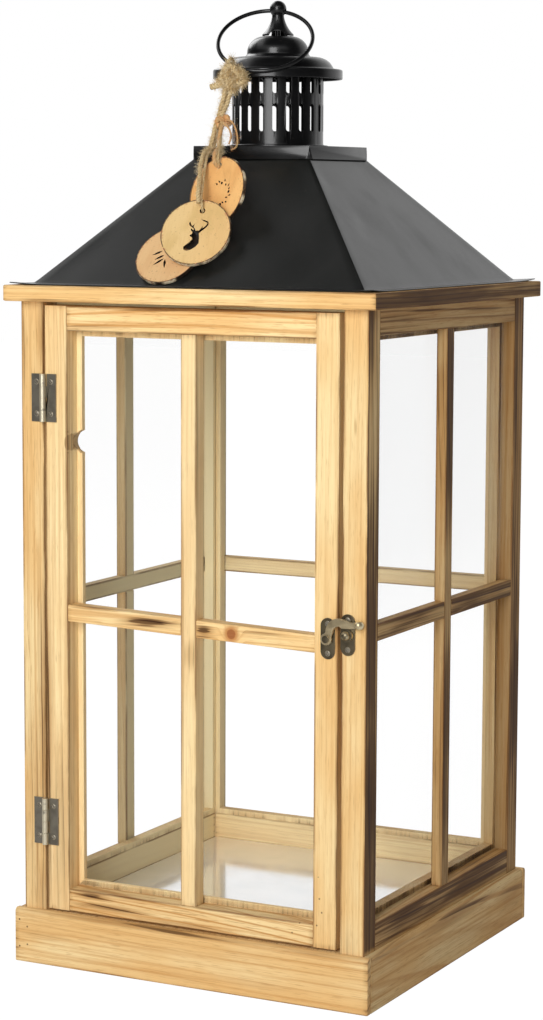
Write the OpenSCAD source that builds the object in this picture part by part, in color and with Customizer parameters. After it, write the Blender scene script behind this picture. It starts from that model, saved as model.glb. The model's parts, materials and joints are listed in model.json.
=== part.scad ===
// Hanging lantern: a square glazed timber case with a hinged door, a sheet-metal roof,
// a slotted vent under a spun cap, and a carrying ring that swings in the finial.
// Millimetres. Origin at the bottom centre, +Z up, the door faces -Y.

/* [Base] */
// Outside width and depth of the plinth
plinth_w = 300; // [270:10:330]
// Height of the plinth boards
plinth_h = 42; // [40:1:46]
// Thickness of the plinth boards
plinth_t = 6; // [5:0.5:7]
// Chamfer along the upper outside edge of the plinth boards
plinth_chamfer = 2; // [1:0.5:3]
// Height of the floor board's upper face
floor_z = 40; // [38:1:42]
// Thickness of the floor board
floor_t = 5; // [4:1:6]
// Thickness of the polished floor plate
plate_t = 1; // [0.8:0.1:1.5]
// Height of the battens under the floor board
batten_h = 18; // [14:1:20]
// Overall height of the sill batten under the door
sill_h = 25; // [20:1:30]

/* [Frame] */
// Side of the square corner posts, and depth of the rails
post_w = 19; // [18:0.5:21]
// Height of the corner posts
post_h = 507; // [460:1:560]
// Height of the top rails
top_rail_h = 19; // [16:1:24]
// Height of the bottom rails
bottom_rail_h = 21.5; // [20:0.5:26]
// Height of the side and back crossbars' centre line
side_bar_z = 275.5; // [240:0.5:310]
// Width of every mullion and crossbar
bar_w = 12.8; // [11:0.1:15]
// Depth of the side and back mullions and crossbars
side_bar_d = 9; // [8:0.5:10]
// Thickness of every pane
glass_t = 2; // [1.6:0.1:3]
// Gap all round a pane
glass_gap = 0.5; // [0.3:0.1:1]
// Height of the glazing beads that stand inside each pane
bead_h = 4.5; // [3.5:0.5:6]
// Width of the four boards round the top
top_board_w = 35; // [30:1:44]
// Thickness of the boards round the top
top_board_t = 12; // [10:1:15]
// How far the top boards stand past the posts
top_overhang = 10; // [7:1:12]

/* [Door] */
// Gap between the door and the post on the hinge side
hinge_gap = 1.8; // [1.6:0.1:2.4]
// Gap between the door and the post on the latch side
latch_gap = 3.5; // [3:0.1:4.5]
// Gap above the door
door_top_gap = 3; // [2:0.5:4]
// Gap between the door and the plinth
door_foot_gap = 1.5; // [1:0.5:3]
// Width of the two door stiles
stile_w = 18.5; // [18:0.5:20]
// Height of the door's top rail
door_top_h = 18.5; // [16:0.5:22]
// Height of the door's bottom rail
door_bottom_h = 17; // [15:0.5:22]
// Height of the door crossbar's middle
door_bar_z = 270; // [240:0.5:300]
// How much lower the crossbar sits at the latch end than at the hinge end
door_bar_drop = 6.8; // [0:0.2:8]
// Depth of the door's mullion and crossbar
door_bar_d = 12.5; // [11:0.5:13]
// Radius of the knot hole in the inner edge of the hinge stile
knot_hole_r = 8.5; // [7:0.5:10]
// How deep the knot hole bites into the stile
knot_hole_bite = 2; // [1:0.5:3]
// Height of the knot hole
knot_hole_z = 402; // [380:1:430]

/* [Hinges] */
// Height of a hinge
hinge_h = 36; // [32:1:40]
// Width of one hinge leaf, from the pin to its edge
leaf_w = 10.7; // [9.5:0.1:12]
// Thickness of the leaves
leaf_t = 1.2; // [1:0.1:1.4]
// Radius of the hinge pins
pin_r = 1.2; // [1:0.1:1.3]
// Height of the upper hinge's middle
upper_hinge_z = 435; // [400:1:450]
// Height of the lower hinge's middle
lower_hinge_z = 111.5; // [100:0.5:140]
// Radial clearance of every turning pin
pin_clear = 0.05; // [0.03:0.01:0.08]
// Screw shank radius
screw_r = 1.2; // [1:0.1:1.3]
// Screw head radius
screw_head_r = 2.2; // [2:0.1:2.4]
// Screw length below the head
screw_len = 9; // [7:1:11]

/* [Latch] */
// Height of the two latch plates
latch_h = 30; // [28:1:34]
// Width of the two latch plates
latch_w = 11.5; // [11:0.5:12.5]
// Thickness of the latch plates
latch_t = 1; // [0.8:0.1:1.2]
// Height of the latch hook's pivot
latch_z = 271.7; // [250:0.1:300]
// Pivot's distance from the outer edge of the latch stile
latch_inset = 7.6; // [7:0.1:8.5]
// Distance across from the pivot to the stud
stud_dx = 15.9; // [15.5:0.1:17]
// Height of the stud above the pivot
stud_dz = 3.8; // [3:0.1:4.5]
// Distance between the screws of a latch plate
latch_screw_pitch = 21.4; // [20:0.2:23]
// Thickness of the hook
hook_t = 2.4; // [2:0.1:3]
// Radius of the ball at the hook's tip
hook_ball_r = 3.5; // [3:0.1:4.2]

/* [Roof] */
// How far the roof's flange stays inside the top boards' edge
flange_inset = 3.6; // [2:0.2:6]
// Width of the flange round the foot of the slope
flange_w = 13; // [10:0.5:16]
// Thickness of the roof sheet
sheet_t = 1; // [0.8:0.1:1.2]
// Height of the slope, from the flange to the collar's lower edge
slope_h = 93; // [80:1:110]
// Width of the square collar at its lower edge
collar_w = 101.4; // [90:0.2:112]
// Height of the collar
collar_h = 10; // [8:0.5:13]
// Inward lean of the collar's sides
collar_lean = 1.5; // [0:0.5:3]
// Corner radius of the collar
collar_r = 5; // [3:0.5:8]

/* [Vent] */
// How far the vent stands left of the roof's middle
vent_shift = 3; // [0:0.5:4]
// Outside radius of the vent tube
tube_r = 35; // [32:0.5:37]
// Wall of the vent tube
tube_wall = 1; // [0.8:0.1:1.2]
// Radius of the flange at the tube's foot
tube_flange_r = 38.5; // [37.5:0.5:40]
// Number of slots round the vent
slot_count = 21; // [15:1:26]
// Width of a slot
slot_w = 4.2; // [3:0.2:5]
// Turn of the slots about the tube
slot_turn = 7; // [0:1:16]
// Lower slots: height of their lower ends above the collar
slot_low_z = 11; // [8:0.5:14]
// Length of the lower slots
slot_low_len = 21; // [16:0.5:23]
// Solid band between the two rows of slots
slot_band = 7.5; // [5:0.5:10]
// Length of the upper slots
slot_high_len = 13.5; // [10:0.5:14]
// Radius of the cap's rim
cap_r = 49.6; // [48.5:0.1:51]
// Height of the cap's rim above the collar
cap_lift = 50.8; // [50:0.2:54]
// Height of the cap from its rim to the crown
cap_h = 32.6; // [31:0.2:35]
// Radius of the dome in the middle of the cap
dome_r = 23.6; // [22:0.2:25]
// Wall of the cap
cap_t = 1; // [0.8:0.1:1.2]

/* [Finial and ring] */
// Radius of the finial's ball
ball_r = 6.4; // [6:0.1:7.5]
// Height of the ball's centre above the cap's crown
ball_z = 20.6; // [19:0.2:23]
// Distance of the ring's hole below the ball's centre
eye_drop = 1.5; // [0:0.1:2]
// Turn of the ring's hole about the vertical
eye_turn = 12; // [0:1:20]
// Fall of the ring's hole towards the right
eye_tilt = 6; // [0:1:8]
// Radius of the ring's centre line
ring_r = 35.9; // [34:0.1:38]
// Radius of the ring's wire
wire_r = 1.5; // [1.2:0.1:1.7]
// Lean of the ring from hanging straight down, where it rests on the cap
ring_lean = 48.7; // [48:0.1:60]
// Clearance round the wire in the ball's hole
eye_clear = 0.35; // [0.3:0.05:0.5]

/* [Tags] */
// Thickness of the wooden discs
tag_t = 3; // [2.5:0.1:3.2]
// Radius of the front disc
tag_front_r = 27; // [25:0.5:28]
// Radius of the back disc
tag_back_r = 27; // [25:0.5:28]
// Radius of the low disc
tag_low_r = 25.7; // [24:0.1:26]
// Radius of the discs' holes
tag_hole_r = 2.2; // [1.8:0.1:2.4]
// Radius of the twine
twine_r = 1.1; // [0.8:0.1:1.2]

/* [Hidden] */
$fn = 64;

soft_gap = 0.3;                                  // between curved faces of two pieces
cut = 1;                                         // how far a cutter runs past a face

pine = [0.85, 0.68, 0.43];
pine_dark = [0.62, 0.45, 0.26];
black = [0.08, 0.08, 0.08];
bronze = [0.36, 0.32, 0.26];
brass = [0.52, 0.46, 0.34];
clear_glass = [0.8, 0.88, 0.9, 0.25];
jute = [0.72, 0.6, 0.42];

frame_x = plinth_w / 2 - plinth_t;               // outer faces of the posts
post_x = frame_x - post_w;                       // inner faces of the posts
window_z0 = floor_z + bottom_rail_h;             // window opening, low and high
window_z1 = post_h - top_rail_h;
bar_half = bar_w / 2;

door_x0 = -post_x + hinge_gap;
door_x1 = post_x - latch_gap;
door_mid = (door_x0 + door_x1) / 2;
door_z0 = plinth_h + door_foot_gap;
door_z1 = post_h - door_top_gap;
light_x0 = door_x0 + stile_w;                    // the door's glazed opening
light_x1 = door_x1 - stile_w;
light_z0 = door_z0 + door_bottom_h;
light_z1 = door_z1 - door_top_h;
drop_slope = door_bar_drop / (door_x1 - door_x0 - 2 * stile_w);

barrel_r = pin_r + leaf_t;
hinge_x = -post_x + hinge_gap / 2;
hinge_y = -frame_x - barrel_r - soft_gap;
knuckle_h = hinge_h / 4;
knuckle_gap = 0.1;
leaf_screw_x = 6.2;                              // screw line's distance from the pin
leaf_screw_z = hinge_h / 2 - 6;                  // screws above and below a hinge's middle

latch_x = door_x1 - latch_inset;
stud_x = latch_x + stud_dx;
stud_z = latch_z + stud_dz;
screw_clear = 0.5;                               // space left under a screw's point
screw_head_t = 0.5;
screw_slot = 0.5;
pivot_r = 1.5;
boss_r = 3.2;                                    // washer boss under the hook
boss_t = 0.8;
rivet_head_r = 2.8;
hook_gap = 0.1;                                  // play at the hook's faces
hook_y = -frame_x - latch_t - boss_t - hook_gap; // back face of the hook
hub_r = 4.3;
arc_x = 10.2;                                    // the hook's bend, from the pivot
arc_z = 5.2;
arc_r = 7.7;
band_w = 5.6;                                    // width of the hook at its bend
arm_w = 4.4;                                     // width of the arm where it meets the ball
tip_x = 26.4;                                    // the hook's ball, from the pivot
tip_y = 2.9;
tip_z = 12;
rivet_rise = 0.6;                                // how far the pivot stands out of the hook
rivet_head_t = 1;
stud_boss_r = 4.7;                               // boss that the hook's arm rests on
stud_boss_t = 3.2;
stud_neck_r = 2.3;
stud_neck_l = 0.6;
stud_head_r = 3.4;

top_x = frame_x + top_overhang;
top_z = post_h + top_board_t;                    // upper face of the top boards
flange_x = top_x - flange_inset;
slope_x0 = flange_x - flange_w;
slope_z0 = top_z + sheet_t;
collar_z0 = slope_z0 + slope_h;
collar_z1 = collar_z0 + collar_h;
collar_x0 = collar_w / 2;
slope_x1 = collar_x0 - sheet_t - soft_gap;       // the slope's half width at the collar's lip
pitch = (slope_x0 - slope_x1) / slope_h;         // run of the slope for each millimetre of rise
roof_top_z = collar_z1 - sheet_t;                // the sheet's upper rim, under the collar's deck
run_t = sheet_t * sqrt(1 + pitch * pitch);       // the sheet's thickness measured level

cap_z = collar_z1 + cap_lift;                    // lower edge of the cap's rim
crown_z = cap_z + cap_h;                         // top of the cap
dome_bend_r = 12.6;                              // bend of the dome's edge
cap_fillet_r = 3;                                // hollow bends of the cap
rim_bend_r = 1.5;                                // bend over the cap's rim
bend_r = 13;                                     // the cap's shoulder
bend_end = 25;                                   // where the shoulder turns into the hollow over the rim
bend_x = cap_r - rim_bend_r - cap_fillet_r - bend_r - 1.6;
bend_z = cap_z + 3.8;
rim_x = bend_x + (bend_r + cap_fillet_r) * cos(bend_end);
rim_z = bend_z + (bend_r + cap_fillet_r) * sin(bend_end);
tube_top = bend_z + sqrt(pow(bend_r - cap_t, 2) - pow(tube_r - bend_x, 2)) - soft_gap;
stem_r = 2;                                      // the finial's threaded stem
stem_len = 14;
nut_r = 4;
nut_h = 3.2;
neck_r = 4.4;                                    // the finial's neck, under the ball
foot_r = 12;                                     // the finial's foot
foot_edge = 1.6;                                 // breadth of its standing edge
foot_hollow = 4.5;                               // hollow under the foot
bell_r = 24;                                     // hollow curve of the bell, and its centre
bell_x = 28.2;
bell_z = 18.9;
arch_r = 6.2;                                    // arches cut into the bell
arch_drop = 1.5;
arch_turn = 21;
ball_c = crown_z + ball_z;
eye_z = ball_c - eye_drop;
eye_r = wire_r + eye_clear + ball_r * ball_r / (2 * ring_r);

// The line of the ring's hole, with the directions to the front and up from it
eye_line = [cos(eye_turn) * cos(eye_tilt), sin(eye_turn) * cos(eye_tilt), -sin(eye_tilt)];
eye_front = [sin(eye_turn), -cos(eye_turn), 0];
eye_up = cross(eye_front, eye_line);

// The twine loops once round the ring at this point, and leaves a short end in front
knot_at = [-14.5, -53.9, 683.4];
loop_r = 4.4;
loop = [for (a = [-15:25:235]) knot_at + loop_r * (cos(a) * eye_front + sin(a) * eye_up)
    + (a / 75 - 1.5) * eye_line];
loose_end = [[-25, -60, 668], [-20, -60.5, 672], [-16.5, -59.5, 677]];
// From the ring down over the collar, through the front disc and into the low one
front_route = [[-14, -54.2, 678], [-15.2, -56.6, 672.5], [-17.5, -57.5, 665], [-20, -57.5, 656],
    [-21.5, -57.5, 648], [-23, -57.5, 641], [-24.5, -58, 632], [-25, -60, 623.5], [-24, -66, 620.5],
    [-21, -76, 617], [-17, -87.5, 612], [-13.5, -97, 602], [-10, -107, 589.5],
    [-7.8, -112, 582.5], [-6.7, -112.8, 578], [-6.9, -111.6, 574.9], [-7.3, -109.2, 572.9],
    [-8.8, -107.6, 570.5], [-13, -109, 566],
    [-17.5, -111, 563.2], [-19.5, -113.3, 559.6], [-19.5, -112.2, 556.4], [-19.5, -109.1, 553.9]];
// Beside it from the ring, then through the back disc
back_route = [[-11.6, -56.8, 673.5], [-14.6, -57.5, 665.8], [-17.2, -57.5, 656.8], [-18.7, -57.5, 648.5],
    [-20, -57.8, 641], [-20.3, -59.5, 633], [-18, -64, 625.5], [-12.5, -75, 619.5], [-7, -86, 618],
    [-5, -91, 615], [-4.8, -91.8, 610.8], [-4.3, -90, 607.8], [-2.9, -85.4, 606.2]];

// Where each disc lies: centre, turn, rise of its face, and its hole from the centre
front_pose = [[-8, -119.5, 558.7], 10, 29, [2.5, 17.5]];
back_pose = [[-3, -95.3, 588.1], -16, 16.5, [-2.7, 20]];
low_pose = [[-29.5, -122.6, 541.7], 0, 38.5, [10, 18]];

// ---------- helpers ----------

// A box from its low corner to its high corner
module block(low, high) {
    translate(low) cube(high - low);
}

// Turns a front piece to the right (90), the back (180) or the left (-90)
module at_side(angle) {
    rotate([0, 0, angle]) children();
}

// A cylinder that runs along -Y from y0, as screws and latch parts do
module stub(x, y0, z, radius, length) {
    translate([x, y0, z]) rotate([90, 0, 0]) cylinder(r = radius, h = length);
}

// An obround plate standing on a face that looks along -Y
module obround(x, y0, z, width, height, depth) {
    pitch_h = height - width;
    block([x - width / 2, y0 - depth, z - pitch_h / 2], [x + width / 2, y0, z + pitch_h / 2]);
    for (s = [-1, 1]) stub(x, y0, z + s * pitch_h / 2, width / 2, depth);
}

function arc(cx, cz, r, a0, a1, n = 8) =
    [for (i = [0:n]) let (a = a0 + (a1 - a0) * i / n) [cx + r * cos(a), cz + r * sin(a)]];

// ---------- base ----------

module plinth_profile() {
    polygon([[0, 0], [plinth_t, 0], [plinth_t, plinth_h - plinth_chamfer],
        [plinth_t - plinth_chamfer, plinth_h], [0, plinth_h]]);
}

module plinth_board(length) {
    translate([-length / 2, -frame_x, 0]) rotate([90, 0, 90])
        linear_extrude(length) mirror([1, 0]) plinth_profile();
}

module plinth_front_back_boards() color(pine)
    for (side = [0, 180]) at_side(side) plinth_board(plinth_w);

module plinth_side_boards() color(pine)
    for (side = [-90, 90]) at_side(side) plinth_board(2 * frame_x);

module batten(low, high)
    block([-post_x, -frame_x, low], [post_x, -post_x, high]);

// The front batten rises to the plinth's top as a sill, and the others carry the floor board
module base_battens() color(pine_dark) {
    batten(plinth_h - sill_h, plinth_h);
    for (side = [-90, 90, 180]) at_side(side) batten(floor_z - floor_t - batten_h, floor_z - floor_t);
}

module floor_board() color(pine)
    difference() {
        block([-frame_x, -post_x, floor_z - floor_t], [frame_x, frame_x, floor_z]);
        for (sx = [-1, 1]) translate([sx * frame_x, frame_x, floor_z - floor_t / 2])
            cube([2 * post_w, 2 * post_w, floor_t + 2 * cut], center = true);
    }

module floor_plate() color([0.8, 0.8, 0.8])
    block([-post_x + glass_gap, -post_x + glass_gap, floor_z],
        [post_x - glass_gap, post_x - glass_gap, floor_z + plate_t]);

// ---------- frame ----------

module post(sx, sy) color(pine)
    translate([sx > 0 ? post_x : -frame_x, sy > 0 ? post_x : -frame_x, 0])
        cube([post_w, post_w, post_h]);

module front_left_post() color(pine)
    difference() {
        post(-1, -1);
        hinge_screws(-1, screw_r + pin_clear);
    }

module front_right_post() color(pine)
    difference() {
        post(1, -1);
        latch_screws(stud_x, stud_z, screw_r + pin_clear);
    }

module back_left_post() post(-1, 1);

module back_right_post() post(1, 1);

module top_rail() color(pine)
    block([-post_x, -frame_x, window_z1], [post_x, -post_x, post_h]);

module bottom_rail() color(pine)
    block([-post_x, -frame_x, floor_z], [post_x, -post_x, window_z0]);

// The mullion is halved from behind and the crossbar from the front, where they cross
module mullion() color(pine)
    difference() {
        block([-bar_half, -frame_x, window_z0], [bar_half, -frame_x + side_bar_d, window_z1]);
        block([-bar_w, -frame_x + side_bar_d / 2, side_bar_z - bar_half],
            [bar_w, -frame_x + side_bar_d + cut, side_bar_z + bar_half]);
    }

module crossbar() color(pine)
    difference() {
        block([-post_x, -frame_x, side_bar_z - bar_half],
            [post_x, -frame_x + side_bar_d, side_bar_z + bar_half]);
        block([-bar_half, -frame_x - cut, side_bar_z - bar_w],
            [bar_half, -frame_x + side_bar_d / 2, side_bar_z + bar_w]);
    }

// A pane that lies against the back of its bars, given the opening and its outer face
module pane(x0, x1, z0, z1, y) color(clear_glass)
    block([x0 + glass_gap, y, z0 + glass_gap], [x1 - glass_gap, y + glass_t, z1 - glass_gap]);

// Four beads inside a pane: two uprights and two levels between them
module bead_frame(x0, x1, z0, z1, y0, y1) color(pine) {
    for (x = [x0, x1 - bead_h]) block([x, y0, z0], [x + bead_h, y1, z1]);
    for (z = [z0, z1 - bead_h]) block([x0 + bead_h, y0, z], [x1 - bead_h, y1, z + bead_h]);
}

module glass() pane(-post_x, post_x, window_z0, window_z1, -frame_x + side_bar_d);

module beads() bead_frame(-post_x, post_x, window_z0, window_z1,
    -frame_x + side_bar_d + glass_t, -post_x);

module left_top_rail() at_side(-90) top_rail();
module left_bottom_rail() at_side(-90) bottom_rail();
module left_mullion() at_side(-90) mullion();
module left_crossbar() at_side(-90) crossbar();
module left_glass() at_side(-90) glass();
module left_beads() at_side(-90) beads();

module right_top_rail() at_side(90) top_rail();
module right_bottom_rail() at_side(90) bottom_rail();
module right_mullion() at_side(90) mullion();
module right_crossbar() at_side(90) crossbar();
module right_glass() at_side(90) glass();
module right_beads() at_side(90) beads();

module back_top_rail() at_side(180) top_rail();
module back_bottom_rail() at_side(180) bottom_rail();
module back_mullion() at_side(180) mullion();
module back_crossbar() at_side(180) crossbar();
module back_glass() at_side(180) glass();
module back_beads() at_side(180) beads();

// One mitred board of the square frame on top of the posts
module top_board() color(pine)
    translate([0, 0, post_h]) linear_extrude(top_board_t)
        polygon([[-top_x, -top_x], [top_x, -top_x],
            [top_x - top_board_w, -top_x + top_board_w], [-top_x + top_board_w, -top_x + top_board_w]]);

module top_board_front() top_board();
module top_board_back() at_side(180) top_board();
module top_board_left() at_side(-90) top_board();
module top_board_right() at_side(90) top_board();

// ---------- door ----------

module hinge_screws(side, radius)
    for (z = [upper_hinge_z, lower_hinge_z], s = [-1, 1])
        stub(hinge_x + side * leaf_screw_x, -frame_x + screw_len, z + s * leaf_screw_z, radius,
            screw_len + leaf_t);

module latch_screws(x, z, radius)
    for (s = [-1, 1])
        stub(x, -frame_x + screw_len, z + s * latch_screw_pitch / 2, radius, screw_len + latch_t);

module stile(x) color(pine)
    block([x, -frame_x, door_z0], [x + stile_w, -post_x, door_z1]);

module door_hinge_stile() color(pine)
    difference() {
        stile(door_x0);
        hinge_screws(1, screw_r + pin_clear);
        knot_hole();
    }

module door_latch_stile() color(pine)
    difference() {
        stile(door_x1 - stile_w);
        latch_screws(latch_x, latch_z, screw_r + pin_clear);
    }

module door_rail(low, high) color(pine)
    block([light_x0, -frame_x, low], [light_x1, -post_x, high]);

module door_top_rail() door_rail(light_z1, door_z1);

module door_bottom_rail() door_rail(door_z0, light_z0);

// A hole left by a loose knot, through the bead and the inner edge of the hinge stile
module knot_hole()
    stub(light_x0 - knot_hole_bite + knot_hole_r, -post_x + cut, knot_hole_z, knot_hole_r, 10 + cut);

// The door's crossbar, which falls a little towards the latch
module sloped_bar(x0, x1, y0, y1)
    translate([0, y1, 0]) rotate([90, 0, 0]) linear_extrude(y1 - y0)
        polygon([for (e = [[x0, -1], [x1, -1], [x1, 1], [x0, 1]])
            [e[0], door_bar_z - (e[0] - door_mid) * drop_slope + e[1] * bar_half]]);

module door_mullion() color(pine)
    difference() {
        block([door_mid - bar_half, -frame_x, light_z0],
            [door_mid + bar_half, -frame_x + door_bar_d, light_z1]);
        sloped_bar(door_mid - bar_w, door_mid + bar_w,
            -frame_x + door_bar_d / 2, -frame_x + door_bar_d + cut);
    }

module door_crossbar() color(pine)
    difference() {
        sloped_bar(light_x0, light_x1, -frame_x, -frame_x + door_bar_d);
        block([door_mid - bar_half, -frame_x - cut, door_bar_z - bar_w],
            [door_mid + bar_half, -frame_x + door_bar_d / 2, door_bar_z + bar_w]);
    }

module door_glass() pane(light_x0, light_x1, light_z0, light_z1, -frame_x + door_bar_d);

module door_beads() color(pine)
    difference() {
        bead_frame(light_x0, light_x1, light_z0, light_z1, -frame_x + door_bar_d + glass_t, -post_x);
        knot_hole();
    }

// ---------- hinges ----------

// One leaf: side -1 lies on the post and has the upper knuckle of each pair, side 1 lies on the door
module hinge_leaf(side) {
    own = side < 0 ? [1, 3] : [0, 2];
    other = side < 0 ? [0, 2] : [1, 3];
    clear_r = barrel_r + soft_gap;
    difference() {
        union() {
            block([side < 0 ? -leaf_w : 0, -frame_x - leaf_t - hinge_y, 0],
                [side < 0 ? 0 : leaf_w, -frame_x - hinge_y, hinge_h]);
            for (k = own) translate([0, 0, k * knuckle_h + knuckle_gap])
                cylinder(r = barrel_r, h = knuckle_h - 2 * knuckle_gap);
        }
        for (k = other) translate([-clear_r, -clear_r, k * knuckle_h - knuckle_gap])
            cube([2 * clear_r, 2 * clear_r, knuckle_h + 2 * knuckle_gap]);
        translate([0, 0, -cut]) cylinder(r = pin_r + pin_clear, h = hinge_h + 2 * cut);
    }
}

module at_hinges()
    for (z = [upper_hinge_z, lower_hinge_z]) translate([hinge_x, hinge_y, z - hinge_h / 2]) children();

module hinge_post_leaves() color(bronze)
    difference() {
        at_hinges() hinge_leaf(-1);
        hinge_screws(-1, screw_r + pin_clear);
    }

module hinge_door_leaves() color(bronze)
    difference() {
        at_hinges() hinge_leaf(1);
        hinge_screws(1, screw_r + pin_clear);
    }

module hinge_pins() color(bronze)
    at_hinges() cylinder(r = pin_r, h = hinge_h);

// A screw with a low slotted head on a plate of the given thickness
module screw(x, z, plate) {
    shank = screw_len - screw_clear;
    stub(x, -frame_x + shank, z, screw_r, shank + plate);
    difference() {
        translate([x, -frame_x - plate, z]) rotate([90, 0, 0])
            cylinder(r1 = screw_head_r, r2 = screw_head_r - screw_head_t, h = screw_head_t);
        translate([x, -frame_x - plate - screw_head_t, z]) rotate([0, 45, 0])
            cube([3, screw_slot, screw_slot], center = true);
    }
}

module hinge_screw_set(side)
    for (z = [upper_hinge_z, lower_hinge_z], s = [-1, 1])
        screw(hinge_x + side * leaf_screw_x, z + s * leaf_screw_z, leaf_t);

module latch_screw_set(x, z)
    for (s = [-1, 1]) screw(x, z + s * latch_screw_pitch / 2, latch_t);

module post_screws() color(bronze) {
    hinge_screw_set(-1);
    latch_screw_set(stud_x, stud_z);
}

module door_screws() color(bronze) {
    hinge_screw_set(1);
    latch_screw_set(latch_x, latch_z);
}

// ---------- latch ----------

module latch_plate() color(brass)
    difference() {
        union() {
            obround(latch_x, -frame_x, latch_z, latch_w, latch_h, latch_t);
            stub(latch_x, -frame_x - latch_t, latch_z, boss_r, boss_t);
            stub(latch_x, -frame_x, latch_z, pivot_r, latch_t + boss_t + hook_t + rivet_rise);
            stub(latch_x, hook_y - hook_t - hook_gap, latch_z, rivet_head_r, rivet_head_t);
        }
        latch_screws(latch_x, latch_z, screw_r + pin_clear);
    }

// The hook: a hub, a band bent up and over, an arm that rests on the stud's boss, and a ball
module hook_outline() {
    outer = arc_r + band_w / 2;
    inner = arc_r - band_w / 2;
    seat = stud_dz + stud_boss_r + soft_gap;     // the arm's lower edge, above the pivot
    circle(r = hub_r);
    polygon(concat([[-hub_r + 0.3, 0]], arc(arc_x, arc_z, outer, 180, 75),
        [[stud_dx + 3, seat + band_w - 1], [tip_x, tip_z + arm_w / 2], [tip_x, tip_z - arm_w / 2],
            [stud_dx + 3, seat], [arc_x + 2, seat]],
        arc(arc_x, arc_z, inner, 85, 180), [[hub_r - 1, 0]]));
}

module latch_hook() color(brass)
    translate([latch_x, hook_y, latch_z]) difference() {
        union() {
            rotate([90, 0, 0]) linear_extrude(hook_t) hook_outline();
            translate([tip_x, -tip_y, tip_z]) sphere(r = hook_ball_r);
        }
        translate([0, cut, 0]) rotate([90, 0, 0]) cylinder(r = pivot_r + pin_clear, h = hook_t + 2 * cut);
    }

module catch_plate() color(brass)
    difference() {
        union() {
            obround(stud_x, -frame_x, stud_z, latch_w, latch_h, latch_t);
            stub(stud_x, -frame_x - latch_t, stud_z, stud_boss_r, stud_boss_t);
            stub(stud_x, -frame_x, stud_z, stud_neck_r, latch_t + stud_boss_t + stud_neck_l + cut);
            translate([stud_x, -frame_x - latch_t - stud_boss_t - stud_neck_l, stud_z]) difference() {
                sphere(r = stud_head_r);
                block([-stud_head_r, 0, -stud_head_r], [stud_head_r, stud_head_r, stud_head_r]);
            }
        }
        latch_screws(stud_x, stud_z, screw_r + pin_clear);
    }

// ---------- roof ----------

// Square frustum: a profile run along Y met with the same one run along X
module frustum(profile) {
    reach = flange_x + cut;
    intersection() {
        translate([0, reach, 0]) rotate([90, 0, 0]) linear_extrude(2 * reach) polygon(profile);
        translate([-reach, 0, 0]) rotate([90, 0, 90]) linear_extrude(2 * reach) polygon(profile);
    }
}

// Mirrors the right half of a profile to close it
function both_sides(half) =
    concat(half, [for (i = [len(half) - 1:-1:0]) [-half[i][0], half[i][1]]]);

function slope_x(z) = slope_x0 - (z - slope_z0) * pitch;

module roof_sheet() color(black)
    difference() {
        frustum(both_sides([[flange_x, top_z], [flange_x, slope_z0], [slope_x0, slope_z0],
            [slope_x(roof_top_z), roof_top_z]]));
        frustum(both_sides([[slope_x(top_z) - run_t, top_z - cut], [slope_x(top_z) - run_t, top_z],
            [slope_x(roof_top_z) - run_t, roof_top_z], [slope_x(roof_top_z) - run_t, roof_top_z + cut]]));
        // the rim's corners are rounded to sit inside the collar
        translate([0, 0, collar_z0 - soft_gap]) linear_extrude(collar_h) difference() {
            square(4 * collar_x0, center = true);
            rounded_square(slope_x1, collar_r - sheet_t);
        }
    }

module rounded_square(half, r)
    difference() {
        square(2 * half, center = true);
        for (a = [0:90:270]) rotate(a) difference() {
            translate([half - r, half - r]) square(r + cut);
            translate([half - r, half - r]) circle(r = r);
        }
    }

module collar_skin(inset, low, high)
    intersection() {
        frustum(both_sides([[collar_x0 - inset + collar_lean * (collar_z0 - low) / collar_h, low],
            [collar_x0 - inset - collar_lean * (high - collar_z0) / collar_h, high]]));
        translate([0, 0, low]) linear_extrude(high - low)
            rounded_square(collar_x0 - inset, collar_r - inset);
    }

module roof_collar() color(black)
    difference() {
        collar_skin(0, collar_z0, collar_z1);
        collar_skin(sheet_t, collar_z0 - cut, collar_z1 - sheet_t);
        translate([-vent_shift, 0, collar_z0]) cylinder(r = tube_r - tube_wall, h = collar_h + cut);
    }

// ---------- vent ----------

// One ring of slots with round ends, each cut through the near wall only
module slot_row(z, length) {
    end_r = slot_w / 2;
    outline = concat(arc(0, length - end_r, end_r, 0, 180, 6), arc(0, end_r, end_r, 180, 360, 6));
    for (i = [0:slot_count - 1])
        rotate([0, 0, slot_turn + i * 360 / slot_count]) translate([0, tube_wall + cut - tube_r, z])
            rotate([90, 0, 0]) linear_extrude(tube_wall + 2 * cut) polygon(outline);
}

module vent_tube() color(black)
    translate([-vent_shift, 0, collar_z1]) difference() {
        rotate_extrude() polygon([[tube_r - tube_wall, 0], [tube_flange_r, 0],
            [tube_flange_r, tube_wall], [tube_r + tube_wall, tube_wall], [tube_r, 2 * tube_wall],
            [tube_r, tube_top - collar_z1], [tube_r - tube_wall, tube_top - collar_z1]]);
        slot_row(slot_low_z, slot_low_len);
        slot_row(slot_low_z + slot_low_len + slot_band, slot_high_len);
    }

// The cap's section as one run from the crown's hole to the rim, a given depth inside the outer face
function cap_run(depth) = concat(
    [[stem_r + soft_gap, crown_z - depth]],
    arc(dome_r - dome_bend_r, crown_z - dome_bend_r, dome_bend_r - depth, 90, 0),
    arc(dome_r + cap_fillet_r, crown_z - dome_bend_r, cap_fillet_r + depth, 180, 270, 4),
    arc(bend_x, bend_z, bend_r - depth, 90, bend_end),
    arc(rim_x, rim_z, cap_fillet_r + depth, 180 + bend_end, 270, 4),
    arc(cap_r - rim_bend_r, rim_z - cap_fillet_r - rim_bend_r, rim_bend_r - depth, 90, 0, 4),
    [[cap_r - depth, cap_z]]);

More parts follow.
